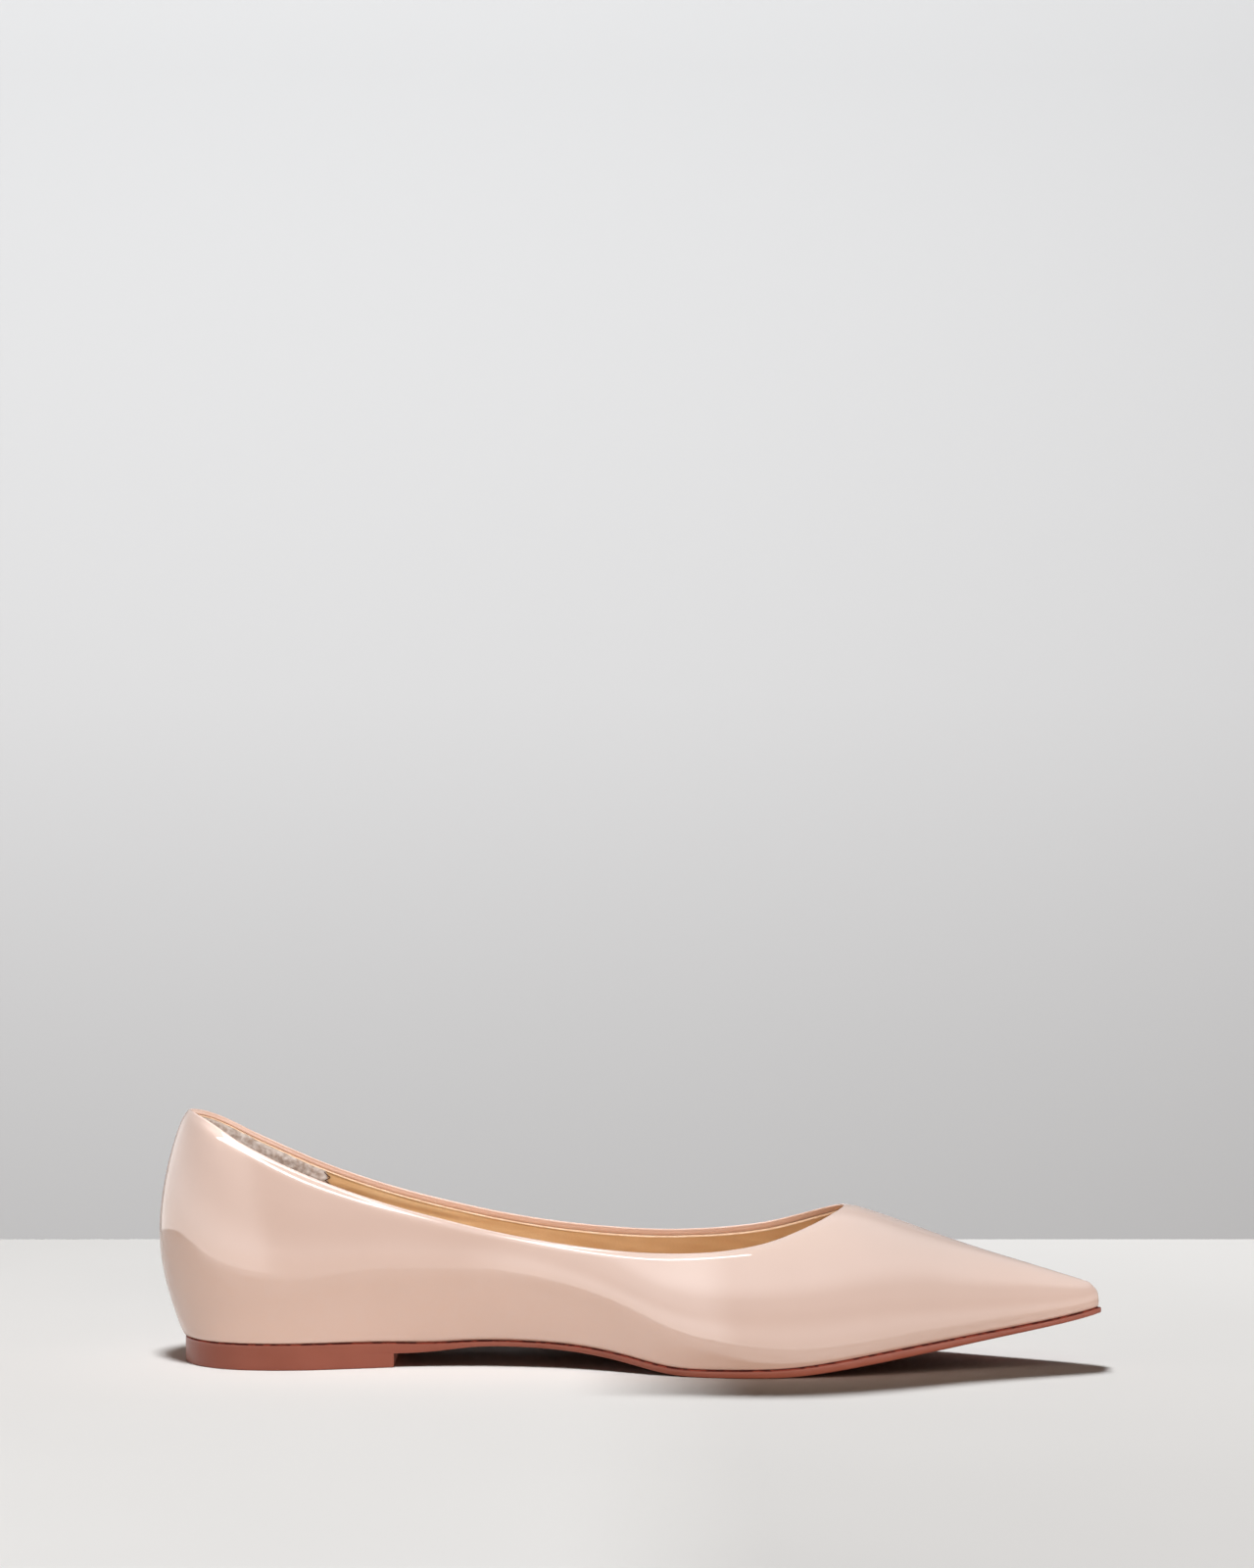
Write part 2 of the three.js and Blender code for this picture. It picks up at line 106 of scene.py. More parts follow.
# The sole's underside in even steps of the length: lift, arch, spring, seat, fore.
SOLE_LINE = [(1, 0, 0, 1, 0)] * 6 + [
    (1, 0, 0, 0.93, 0), (1, 0, 0, 0.54, 0.3), (1, 0.95, 0, 0.12, 0.5),
    (1, 1, 0, 0, 0.66), (0.93, 1, 0, 0, 0.7), (0.8, 0.8, 0, 0, 0.78),
    (0.5, 0.42, 0, 0, 0.83), (0, 0, 0, 0, 0.85), (0, 0, 0, 0, 0.88),
    (0, 0, 0, 0, 0.93), (0, 0, 0, 0, 1.0), (0, 0, 0.085, 0, 1.1),
    (0, 0, 0.2, 0, 1.14), (0, 0, 0.315, 0, 1.12), (0, 0, 0.43, 0, 1.02),
    (0, 0, 0.557, 0, 0.9), (0, 0, 0.683, 0, 0.78), (0, 0, 0.82, 0, 0.73),
    (0, 0, 1.0, 0, 0.72), (0, 0, 1.22, 0, 0.72),
]
SOLE_STEPS = 24
SOLE_HEIGHTS = [r[0] * HEEL_LIFT + r[1] * ARCH_RISE + r[2] * TOE_SPRING for r in SOLE_LINE]
SOLE_DEPTHS = [r[3] * SEAT_THICKNESS + r[4] * FORE_THICKNESS for r in SOLE_LINE]

# The topline: a share of the way to the throat, then its height's share of the back
# and of the throat over the side.
COLLAR_LINE = [
    (0.000, 1.018, 0), (0.049, 0.974, 0), (0.139, 0.752, 0), (0.253, 0.489, 0),
    (0.339, 0.331, 0), (0.425, 0.212, 0), (0.510, 0.117, 0), (0.596, 0.051, 0),
    (0.683, 0.010, 0), (0.769, 0, 0.000), (0.826, 0, 0.070), (0.884, 0, 0.245),
    (0.941, 0, 0.560), (1.000, 0, 0.970), (1.124, 0, 1.950),
]
COLLAR_X = np.array([r[0] * THROAT_AT for r in COLLAR_LINE])
COLLAR_Z = np.array([SIDE_HEIGHT + r[1] * (BACK_HEIGHT - SIDE_HEIGHT)
                     + r[2] * (THROAT_HEIGHT - SIDE_HEIGHT) for r in COLLAR_LINE])


def weights(t):
    s = 1 - t
    return np.array([s ** 3, 3 * t ** 3 - 6 * t * t + 4, 3 * s ** 3 - 6 * s * s + 4, t ** 3]) / 6


def along_sole(values, x):
    padded = np.array([values[0]] + list(values))
    s = np.clip(np.asarray(x) / LENGTH * SOLE_STEPS, 0, SOLE_STEPS)
    i = np.minimum(np.floor(s), SOLE_STEPS - 1).astype(int)
    w = weights(s - i)
    return sum(w[a] * padded[i + a] for a in range(4))


def sole_bottom(x):
    return along_sole(SOLE_HEIGHTS, x)


def sole_top(x):
    return sole_bottom(x) + along_sole(SOLE_DEPTHS, x)


def curve_through(places, values, x):
    """A smooth curve through a table's values."""
    step = np.diff(places)
    rise = np.diff(values) / step
    slope = np.concatenate([rise[:1], (rise[:-1] * step[1:] + rise[1:] * step[:-1])
                            / (step[1:] + step[:-1]), rise[-1:]])
    i = np.clip(np.searchsorted(places, x, side="right") - 1, 0, len(step) - 1)
    t = (x - places[i]) / step[i]
    s = 1 - t
    return (s * s * (1 + 2 * t) * values[i] + s * s * t * step[i] * slope[i]
            + t * t * (3 - 2 * t) * values[i + 1] - t * t * s * step[i] * slope[i + 1])


def collar_height(x):
    return curve_through(COLLAR_X, COLLAR_Z, x)


# How the finished edge lies over the cut topline: place, how far the near and the far
# side drop below it, and the padded fold's depth as a share of its full depth.
EDGE_TRIM = np.array([
    (-5, 0.40, 0.40, 0.50), (9, 0.45, 0.40, 0.50), (24, 0.95, 0.40, 0.56),
    (37, 1.10, 0.30, 0.68), (51, 0.72, 0.00, 0.74), (65, 0.50, -0.35, 0.78),
    (92, 0.60, -0.50, 0.85), (119, 0.75, -0.40, 0.93), (133, 0.80, -0.45, 0.93),
    (147, 0.65, -0.50, 0.86), (160, 0.50, -0.25, 0.95), (174, 0.30, 0.20, 1.00),
    (191, 0.00, 0.00, 1.00), (205, 0.00, 0.00, 1.00),
])


def section_levels(row, side, is_tip):
    foot, belly, upper, shoulder = (BALL_WIDTH * row[2 * n + (2 if side < 0 else 3)]
                                    for n in range(4))
    crown = (row[10] * BACK_HEIGHT + row[11] * THROAT_HEIGHT
             - sole_top(row[0] * LENGTH) - CLEARANCE)
    margin = min(MARGIN_WIDTH, MARGIN_LIMIT * foot)
    reach = [foot - margin, foot - min(FEATHER_ROUND, ROUND_LIMIT * foot), foot,
             foot + LOW_SHARE * (belly - foot), belly, upper, shoulder, 0]
    shares = TIP_SHARES if is_tip else (0,) + LEVEL_SHARES
    height = [0, 0, 0] + [share * crown for share in shares] + [crown]
    if not is_tip:
        height[3] = LOW_HEIGHT * (BACK_HEIGHT - SIDE_HEIGHT) + FEATHER_ROUND / 2
    return np.array(reach, float), np.array(height, float)


def inner_levels(reach, height):
    """The same levels one wall further in, with the lasting margin's top below."""
    inner_reach, inner_height = reach.copy(), height.copy()
    for j in range(3, TOP):
        run, rise = reach[j + 1] - reach[j - 1], height[j + 1] - height[j - 1]
        slope = math.hypot(run, rise)
        inner_reach[j] -= WALL * rise / slope
        inner_height[j] += WALL * run / slope
    inner_height[TOP] -= WALL
    inner_reach[2] = max(reach[2] - WALL, reach[0] + ROUND_LIMIT * (reach[2] - reach[0]))
    inner_reach[1] = (inner_reach[0] + inner_reach[2]) / 2
    inner_height[:3] = MARGIN_THICKNESS
    inner_height[3] = max(inner_height[3], MARGIN_THICKNESS + FEATHER_ROUND)
    return inner_reach, inner_height


def section_point(row, side, reach, height):
    turn = math.radians(row[1])
    return (row[0] * LENGTH - math.sin(turn) * reach, side * math.cos(turn) * reach, height)


class LastSheet:
    """A smooth sheet over the sections: u runs round the shoe, v up to the crown."""

    def __init__(self, levels_of):
        net = np.zeros((2 * LAST + 1, TOP + 1, 3))
        for k in range(-LAST, LAST + 1):
            row, side = SECTIONS[abs(k)], -1 if k < 0 else 1
            reach, height = levels_of(*section_levels(row, side, abs(k) == LAST))
            for j in range(TOP + 1):
                net[k + LAST, j] = section_point(row, side, reach[j], height[j])
        nose = (net[2 * LAST, TOP - 1] + net[2 * LAST - 1, TOP]) / 2
        net[0, TOP] = net[2 * LAST, TOP] = nose
        self.net = net
        self.grid = np.array([[self.knot(k, j) for j in range(-1, TOP + 3)]
                              for k in range(-LAST - 2, LAST + 3)])

    def knot(self, k, j):
        if j < 0:
            return 2 * self.knot(k, 0) - self.knot(k, 1)
        if j > TOP:
            return self.knot(-k, 2 * TOP - j)
        if k > LAST:
            return self.knot(k - 2 * LAST, j)
        if k < -LAST:
            return self.knot(k + 2 * LAST, j)
        return self.net[k + LAST, j]

    def points(self, u, v):
        u, v = np.broadcast_arrays(np.asarray(u, float), np.asarray(v, float))
        k = np.clip(np.floor(u), -LAST, LAST - 1).astype(int)
        j = np.clip(np.floor(v), 0, TOP - 1).astype(int)
        wu, wv = weights(u - k), weights(v - j)
        out = np.zeros(u.shape + (3,))
        for a in range(4):
            for b in range(4):
                out += (wu[a] * wv[b])[..., None] * self.grid[k + LAST + 1 + a, j + b]
        out[..., 2] += sole_top(out[..., 0]) + CLEARANCE
        return out


OUTER = LastSheet(lambda reach, height: (reach, height))
INNER = LastSheet(inner_levels)


HALVINGS = 44


def solve(test, low, high):
    """The root of a monotonic function, for arrays of low and high."""
    a, b = np.array(low, float), np.array(high, float)
    sign = np.sign(test(a))
    for _ in range(HALVINGS):
        middle = (a + b) / 2
        same = np.sign(test(middle)) == sign
        a, b = np.where(same, middle, a), np.where(same, b, middle)
    return (a + b) / 2


def over_collar(u, v):
    p = OUTER.points(u, v)
    return p[..., 2] - collar_height(p[..., 0])


THROAT_U = float(solve(lambda u: over_collar(u, float(TOP)), LAST / 2, LAST))
THROAT_CROWDING = 1.5
CROWN_PULL = 3
CROWN_LENGTH = LAST - THROAT_U
TIP_LENGTH = TOP - FEATHER
CROWN_SHARE = CROWN_LENGTH / (CROWN_LENGTH + TIP_LENGTH)


def collar_points(q, side):
    """u and v of the topline, q from 0 at the back to 1 at the throat."""
    u = side * THROAT_U * (1 - (1 - q) ** THROAT_CROWDING)
    low = np.full(u.shape, FEATHER + 1.0)
    v = solve(lambda w: over_collar(u, w), low, np.full(u.shape, float(TOP)))
    return u, np.where(q >= 1, float(TOP), v)


def wall_lines(q, s, side):
    """u and v on a grid of lines from the topline, s of 0, to the feather, s of 1."""
    u0, v0 = (a[:, None] for a in collar_points(q, side))
    q, s = q[:, None], s[None, :]
    on_crown = s < CROWN_SHARE
    down = (s - CROWN_SHARE) / (1 - CROWN_SHARE)
    front_u = np.where(on_crown, THROAT_U + s / CROWN_SHARE * CROWN_LENGTH, float(LAST))
    front_v = np.where(on_crown, float(TOP), TOP - down * TIP_LENGTH)
    bend_u = front_u - THROAT_U - s * CROWN_LENGTH
    bend_v = front_v - TOP + s * TIP_LENGTH
    u = u0 + s * side * (q * LAST - side * u0) + side * q ** CROWN_PULL * bend_u
    v = v0 + s * (FEATHER - v0) + q ** CROWN_PULL * bend_v
    return u, v


def unit(a):
    return a / np.maximum(np.linalg.norm(a, axis=-1, keepdims=True), 1e-12)


LINE_STEPS = 800


class Walls:
    """Lines all round the shoe, with the frame of the topline at each of them."""

    def __init__(self, lines_per_side):
        q = np.linspace(0, 1, lines_per_side + 1)
        self.q = np.concatenate([q, q[-2:0:-1]])
        self.side = np.concatenate([np.ones(len(q)), -np.ones(len(q) - 2)])
        self.lines_per_side = lines_per_side
        self.edge = self.sheet(OUTER, np.array([0.0]))[:, 0]
        inner_edge = self.sheet(INNER, np.array([0.0]))[:, 0]
        across = unit(np.roll(self.edge, -1, axis=0) - np.roll(self.edge, 1, axis=0))
        near = 0.01
        step = (self.sheet(OUTER, np.array([near]))[:, 0] - self.edge) / near
        self.up = -unit(step - across * (step * across).sum(axis=1, keepdims=True))
        self.drop = -(step * self.up).sum(axis=1)
        places, near_drop, far_drop, fold_share = EDGE_TRIM.T
        x = self.edge[:, 0]
        self.trim = np.where(self.side < 0, curve_through(places, near_drop, x),
                             curve_through(places, far_drop, x))
        self.fold_share = curve_through(places, fold_share, x)
        self.out = unit(np.cross(across, self.up))
        self.out *= np.sign((self.out * (self.edge - inner_edge)).sum(axis=1, keepdims=True))

    def uv(self, s):
        n = self.lines_per_side
        uo, vo = wall_lines(self.q[:n + 1], s, 1)
        ui, vi = wall_lines(self.q[n + 1:], s, -1)
        return np.concatenate([uo, ui]), np.concatenate([vo, vi])

    def sheet(self, surface, s):
        return surface.points(*self.uv(s))

    def started(self, surface, s, depth):
        """Like sheet, but the lines start a distance below the finished edge."""
        u, v = self.uv(np.linspace(0, 1, LINE_STEPS + 1))
        start = (depth * self.fold_share + self.trim) / self.drop
        at = start[:, None] + (1 - start[:, None]) * s[None, :]
        place = at * LINE_STEPS
        i = np.clip(np.floor(place), 0, LINE_STEPS - 1).astype(int)
        t = place - i
        rows = np.arange(len(self.q))[:, None]
        return surface.points(u[rows, i] * (1 - t) + u[rows, i + 1] * t,
                              v[rows, i] * (1 - t) + v[rows, i + 1] * t)

    def at_edge(self, out, up):
        """A ring at a distance out of the wall and up from the finished edge."""
        height = np.where(np.asarray(up) < 0, up * self.fold_share, up) - self.trim
        return self.edge + self.out * np.reshape(out, (-1, 1)) + self.up * height[:, None]


def outline(shift, u):
    """The feather line, moved in or out by each section's own amount."""
    knots = []
    for k in range(-LAST, LAST + 1):
        row, side = SECTIONS[abs(k)], -1 if k < 0 else 1
        foot = BALL_WIDTH * row[2 if side < 0 else 3]
        knots.append(section_point(row, side, max(foot + shift(row), LEAST_REACH * foot), 0))
    knots = np.array([knots[-2]] + knots + [knots[1]])
    k = np.clip(np.floor(u), -LAST, LAST - 1).astype(int)
    w = weights(u - k)
    return sum(w[a][..., None] * knots[k + LAST + a] for a in range(4))


def tread(row):
    return row[12] * SOLE_EDGE


# The shoe's own millimetres start at the rearmost point of the last, so the packed
# outsole's box gives where that lies in the frame.
FINE_U = np.linspace(-LAST, LAST, 1201)
tread_line = outline(tread, FINE_U)
sole_low, sole_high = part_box("outsole")
SHIFT = np.array([
    (sole_low[axis] + sole_high[axis]) / 2
    - MM * (tread_line[:, axis].min() + tread_line[:, axis].max()) / 2 for axis in range(2)
] + [0.0])


# Meshes
def add_object(name, data):
    thing = bpy.data.objects.new(name, data)
    bpy.context.scene.collection.objects.link(thing)
    return thing


def make_mesh(name, points, faces, materials, places=None):
    """A new object from points in the shoe's millimetres; places gives each face's material."""
    mesh = bpy.data.meshes.new(name)
    mesh.from_pydata((np.asarray(points) * MM + SHIFT).tolist(), [], faces)
    for material in materials:
        mesh.materials.append(material)
    if places is not None:
        mesh.polygons.foreach_set("material_index", places)
    mesh.polygons.foreach_set("use_smooth", [True] * len(mesh.polygons))
    mesh.validate()
    return add_object(name, mesh)


def grid_faces(rows, columns, close_rows=True, close_columns=False, start=0):
    """Faces of a grid of points that is numbered row by row."""
    faces = []
    for r in range(rows if close_rows else rows - 1):
        for c in range(columns if close_columns else columns - 1):
            a, b = r * columns + c, r * columns + (c + 1) % columns
            d, e = (r + 1) % rows * columns + c, (r + 1) % rows * columns + (c + 1) % columns
            faces.append((start + a, start + d, start + e, start + b))
    return faces


def down_the_wall(crown_steps, wall_steps):
    """Shares of a wall line, with a step at the end of the crown."""
    return np.concatenate([np.linspace(0, CROWN_SHARE, crown_steps, endpoint=False),
                           np.linspace(CROWN_SHARE, 1, wall_steps)])


# The patent skin: down the outside, in under the foot and back up inside the wall.
# At the topline it rolls in a little and is folded over a round padded edge.
FOLD_THICKNESS = 1.3
FOLD_HEIGHT = 0.62
FOLD_DEPTH = 1.5
FOLD_SWELL = 0.26
CREASE_DEPTH = 1.75
ROLL = 0.42
ROLL_REAR = 0.30
ROLL_REAR_AT = 44.0
ROLL_REAR_SPAN = 20.0
ROLL_BAND = 3.2
# Levels are counted in steps of the last's own lines. The hidden lines run up inside
# the wall to below the crease, and the fold's levels are depths below its edge.
UPPER_LINES = 170
UPPER_STEPS = (44, 48)
UNDERFOOT_LEVELS = (1.8, 1.6, 1.4, 1.2, 1.0, 0.6, 0.0)
INSIDE_LEVELS = (0.0, 0.7, 1.4)
HIDDEN_STEPS = 16
HIDDEN_LOW = 0.97
HIDDEN_START = 4.0
BELOW_CREASE = (-0.95, -2.6)
FOLD_LEVELS = (CREASE_DEPTH, 1.6, FOLD_DEPTH, 1.38, 1.2, 0.95, 0.65, 0.3)
FOLD_FULLNESS = 0.7
CREASE_SLOPE = 0.16
CREASE_FROM = 1.2
FOLD_TURNS = (180, 158, 136, 114, 92, 70, 48, 28, 12)


def roll_at(x):
    return ROLL + ROLL_REAR * np.exp(-((x - ROLL_REAR_AT) / ROLL_REAR_SPAN) ** 2)


def patent_skin(material):
    walls = Walls(UPPER_LINES)
    outside = walls.started(OUTER, down_the_wall(*UPPER_STEPS), 0.0)
    steps = np.linalg.norm(np.diff(outside, axis=1), axis=2)
    depth = np.concatenate([np.zeros((len(steps), 1)), np.cumsum(steps, axis=1)], axis=1)
    roll = roll_at(walls.edge[:, 0])
    rolled = roll[:, None] * np.clip(1 - depth / ROLL_BAND, 0, 1) ** 2
    outside = outside - walls.out[:, None, :] * rolled[..., None]
    rings = [outside[:, n] for n in range(outside.shape[1])]

    end_u = walls.side * walls.q * LAST
    for v in UNDERFOOT_LEVELS:
        rings.append(OUTER.points(end_u, v))
    for v in INSIDE_LEVELS:
        rings.append(INNER.points(end_u, v))
    s = np.linspace(0, HIDDEN_LOW, HIDDEN_STEPS)[::-1]
    hidden = 0.5 * walls.started(OUTER, s, HIDDEN_START) + 0.5 * walls.started(INNER, s, HIDDEN_START)
    rings += [hidden[:, n] for n in range(len(s))]

    rings.append(walls.at_edge(*BELOW_CREASE))
    for down in FOLD_LEVELS:
        if down < FOLD_DEPTH:
            bulge = FOLD_SWELL * math.sin(math.pi * down / FOLD_DEPTH) ** FOLD_FULLNESS
        else:
            bulge = -CREASE_SLOPE * (down - CREASE_FROM)
        rings.append(walls.at_edge(-FOLD_THICKNESS - bulge, -down))
    middle = -(FOLD_THICKNESS + roll) / 2
    half = (FOLD_THICKNESS - roll) / 2
    for turn in np.radians(FOLD_TURNS):
        out = middle + half * math.cos(turn)
        rings.append(walls.at_edge(out, FOLD_HEIGHT * math.sin(turn)))
    points = np.stack(rings, axis=1)
    rows, columns = points.shape[:2]
    return make_mesh("patent_upper", points.reshape(-1, 3),
                     grid_faces(rows, columns, close_columns=True), [material])


# The lining: its cut edge lies in the fold's crease, and it runs down to the insole.
LINING_THICKNESS = 0.75
LINING_TOP = 1.5
RIPPLE = 0.5
RIPPLE_AT = 66.0
RIPPLE_SPAN = 30.0
RIPPLE_LEAST = 0.25
LINING_LINES = 150
LINING_STEPS = (34, 32)
LINING_LAP = 0.55
LINING_FADE = 0.06
LINING_LOW = 0.96
LINING_BACK_STEPS = 14
EDGE_PROFILE = ((0.72, -0.75), (0.72, -0.25), (0.62, -0.05), (0.40, 0.04), (0.18, 0.0),
                (0.05, -0.12), (0.0, -0.32))
# Each wave's share, slant, pitch, phase, and how much and how fast it wanders.
RIPPLE_WAVES = ((0.6, 0.22, 1.35, 0.0, 0.8, 9.0), (0.4, 0.3, 0.8, 1.3, 0.6, 6.3))


def soft_ripples(points):
    """Slow slanting ripples of the lining, strongest beside the waist."""
    x, z = points[..., 0], points[..., 2]
    wave = sum(share * np.sin((z + slant * x) * pitch + phase + wander * np.sin(x / span))
               for share, slant, pitch, phase, wander, span in RIPPLE_WAVES)
    fade = RIPPLE_LEAST + np.exp(-((x - RIPPLE_AT) / RIPPLE_SPAN) ** 2)
    return RIPPLE * wave * fade


def lining_sheet(leather, cut_edge):
    walls = Walls(LINING_LINES)
    s = down_the_wall(*LINING_STEPS)
    start = LINING_TOP + LINING_LAP
    sheet = walls.started(INNER, s, start)
    outer = walls.started(OUTER, s, start)
    inward = unit(sheet - outer)
    fade_in = np.clip(s / LINING_FADE, 0, 1)[None, :]
    sheet = sheet + inward * (soft_ripples(sheet) * fade_in)[..., None]
    back_s = np.linspace(0, LINING_LOW, LINING_BACK_STEPS)[::-1]
    share = LINING_THICKNESS / WALL
    back = ((1 - share) * walls.started(INNER, back_s, start)
            + share * walls.started(OUTER, back_s, start))
    edge = [walls.at_edge(-WALL + out, -LINING_TOP + up) for out, up in EDGE_PROFILE]
    rings = edge + [sheet[:, n] for n in range(len(s))] + [back[:, n] for n in range(len(back_s))]
    points = np.stack(rings, axis=1)
    rows, columns = points.shape[:2]
    faces = grid_faces(rows, columns, close_columns=True)
    places = [1 if c < len(EDGE_PROFILE) - 1 else 0 for r in range(rows) for c in range(columns)]
    return make_mesh("lining", points.reshape(-1, 3), faces, [leather, cut_edge], places)


# The heel grip: a suede pad on the lining, round the inside of the back.
GRIP_SHARE = 0.249
GRIP_TOP = LINING_TOP + 0.4
GRIP_THICKNESS = 0.55
GRIP_ROUND = 1.1
GRIP_LINES = 240
GRIP_STEPS = 90
GRIP_LOW = 0.985
GRIP_DENT = 0.05
GRIP_CALM_RIM = 3.0
GRIP_FRONT_GAP = 0.1
GRIP_BACK_GAP = 0.02


def closed_patch(front, back):
    """Points and faces of a thin pad with a front and a back of the same grid."""
    rows, columns = front.shape[:2]
    count = rows * columns
    points = np.concatenate([front.reshape(-1, 3), back.reshape(-1, 3)])
    faces = grid_faces(rows, columns, close_rows=False)
    faces += [face[::-1] for face in grid_faces(rows, columns, close_rows=False, start=count)]
    rim = [c for c in range(columns)] + [r * columns + columns - 1 for r in range(1, rows)]
    rim += [(rows - 1) * columns + c for c in range(columns - 2, -1, -1)]
    rim += [r * columns for r in range(rows - 2, 0, -1)]
    for a, b in zip(rim, rim[1:] + rim[:1]):
        faces.append((a, b, b + count, a + count))
    return points, faces


def grip_pad(material):
    walls = Walls(GRIP_LINES)
    count = int(round(GRIP_SHARE * walls.lines_per_side))
    rows = np.concatenate([np.arange(-count, 0) % len(walls.q), np.arange(0, count + 1)])
    s = np.linspace(0, GRIP_LOW, GRIP_STEPS)
    sheet = walls.started(INNER, s, GRIP_TOP)[rows]
    inward = unit(sheet - walls.started(OUTER, s, GRIP_TOP)[rows])
    ripples = soft_ripples(sheet)
    along = np.linalg.norm(np.diff(sheet[:, 0], axis=0), axis=1).mean()
    down = np.linalg.norm(np.diff(sheet, axis=1), axis=2).mean()
    line = np.arange(len(rows))
    to_front = np.minimum(line, line[::-1])[:, None] * along
    to_top = np.arange(len(s))[None, :] * down
    near = np.minimum(to_front, to_top)
    lift = GRIP_THICKNESS * np.sqrt(np.clip(1 - (1 - np.clip(near / GRIP_ROUND, 0, 1)) ** 2, 0, 1))
    x, z = sheet[..., 0], sheet[..., 2]
    dents = np.sin(x / 1.9 + 2.0 * np.sin(z / 5.0)) * np.sin(z / 1.6 + 1.5 * np.sin(x / 6.0))
    dents = GRIP_DENT * (dents + np.sin(x / 4.0 + z / 3.0))
    lift = lift + dents * np.clip(near / GRIP_CALM_RIM, 0, 1)
    front = sheet + inward * (GRIP_FRONT_GAP + ripples + lift)[..., None]
    back = sheet + inward * (ripples + GRIP_BACK_GAP)[..., None]
    points, faces = closed_patch(front, back)
    return make_mesh("heel_grip", points, faces, [material])


# Stitches: a zigzag down both front edges of the grip.
STITCH_PITCH = 1.15
STITCH_HALF_WIDTH = 0.75
STITCH_RADIUS = 0.14
STITCH_SIDES = 6
STITCH_BELOW_TOP = 0.5
STITCH_LOW = 0.9
STITCH_SPAN = 0.92
STITCH_LIFT = 0.2
STITCH_OVER_PAD = 0.42
STITCH_OVER_LINING = 0.1
STITCH_DIP = 0.3
STITCH_PATH = (0.0, 0.12, 0.35, 0.65, 0.88, 1.0)
STITCH_AHEAD = 4
STITCH_LINE_STEPS = 400
ACROSS_THREADS = np.array([0.31, 0.17, 0.93])


def tube(path, radius, sides, start):
    """Points and faces of a round thread along a path, closed at both ends."""
    path = np.asarray(path)
    way = unit(np.gradient(path, axis=0))
    side = unit(np.cross(way, ACROSS_THREADS))
    other = np.cross(way, side)
    points = []
    for turn in np.arange(sides) * 2 * math.pi / sides:
        points.append(path + radius * (math.cos(turn) * side + math.sin(turn) * other))
    points = np.stack(points, axis=1)
    faces = grid_faces(len(path), sides, close_rows=False, close_columns=True, start=start)
    faces.append(tuple(start + n for n in range(sides)))
    last_ring = start + (len(path) - 1) * sides
    faces.append(tuple(last_ring + n for n in reversed(range(sides))))
    return points.reshape(-1, 3), faces


def grip_stitches(material):
    walls = Walls(GRIP_LINES)
    count = int(round(GRIP_SHARE * walls.lines_per_side))
    s = np.linspace(0, STITCH_LOW, STITCH_LINE_STEPS)
    sheet = walls.started(INNER, s, GRIP_TOP + STITCH_BELOW_TOP)
    outer = walls.started(OUTER, s, GRIP_TOP + STITCH_BELOW_TOP)
    points, faces = [], []
    for row, ahead in ((count, count + STITCH_AHEAD), (-count, -count - STITCH_AHEAD)):
        line = sheet[row]
        inward = unit(line - outer[row])
        forward = unit(sheet[ahead] - line)
        length = np.concatenate([[0], np.cumsum(np.linalg.norm(np.diff(line, axis=0), axis=1))])
        ripples = soft_ripples(line)
        number = int(length[-1] / STITCH_PITCH)
        for n in range(number):
            ends = []
            for half in (0, 1):
                d = (n + half * STITCH_SPAN) * STITCH_PITCH
                i = int(np.searchsorted(length, d))
                across = STITCH_HALF_WIDTH * (1 if (n + half) % 2 else -1)
                lift = STITCH_LIFT + ripples[i] + (STITCH_OVER_PAD if across < 0 else STITCH_OVER_LINING)
                ends.append((line[i] + forward[i] * across, inward[i], lift))
            path = []
            for t in STITCH_PATH:
                base = ends[0][0] * (1 - t) + ends[1][0] * t
                up = ends[0][1] * (1 - t) + ends[1][1] * t
                lift = ends[0][2] * (1 - t) + ends[1][2] * t - STITCH_DIP * (2 * t - 1) ** 6
                path.append(base + up * lift)
            new_points, new_faces = tube(path, STITCH_RADIUS, STITCH_SIDES, sum(map(len, points)))
            points.append(new_points)
            faces += new_faces
    return make_mesh("grip_stitches", np.concatenate(points), faces, [material])


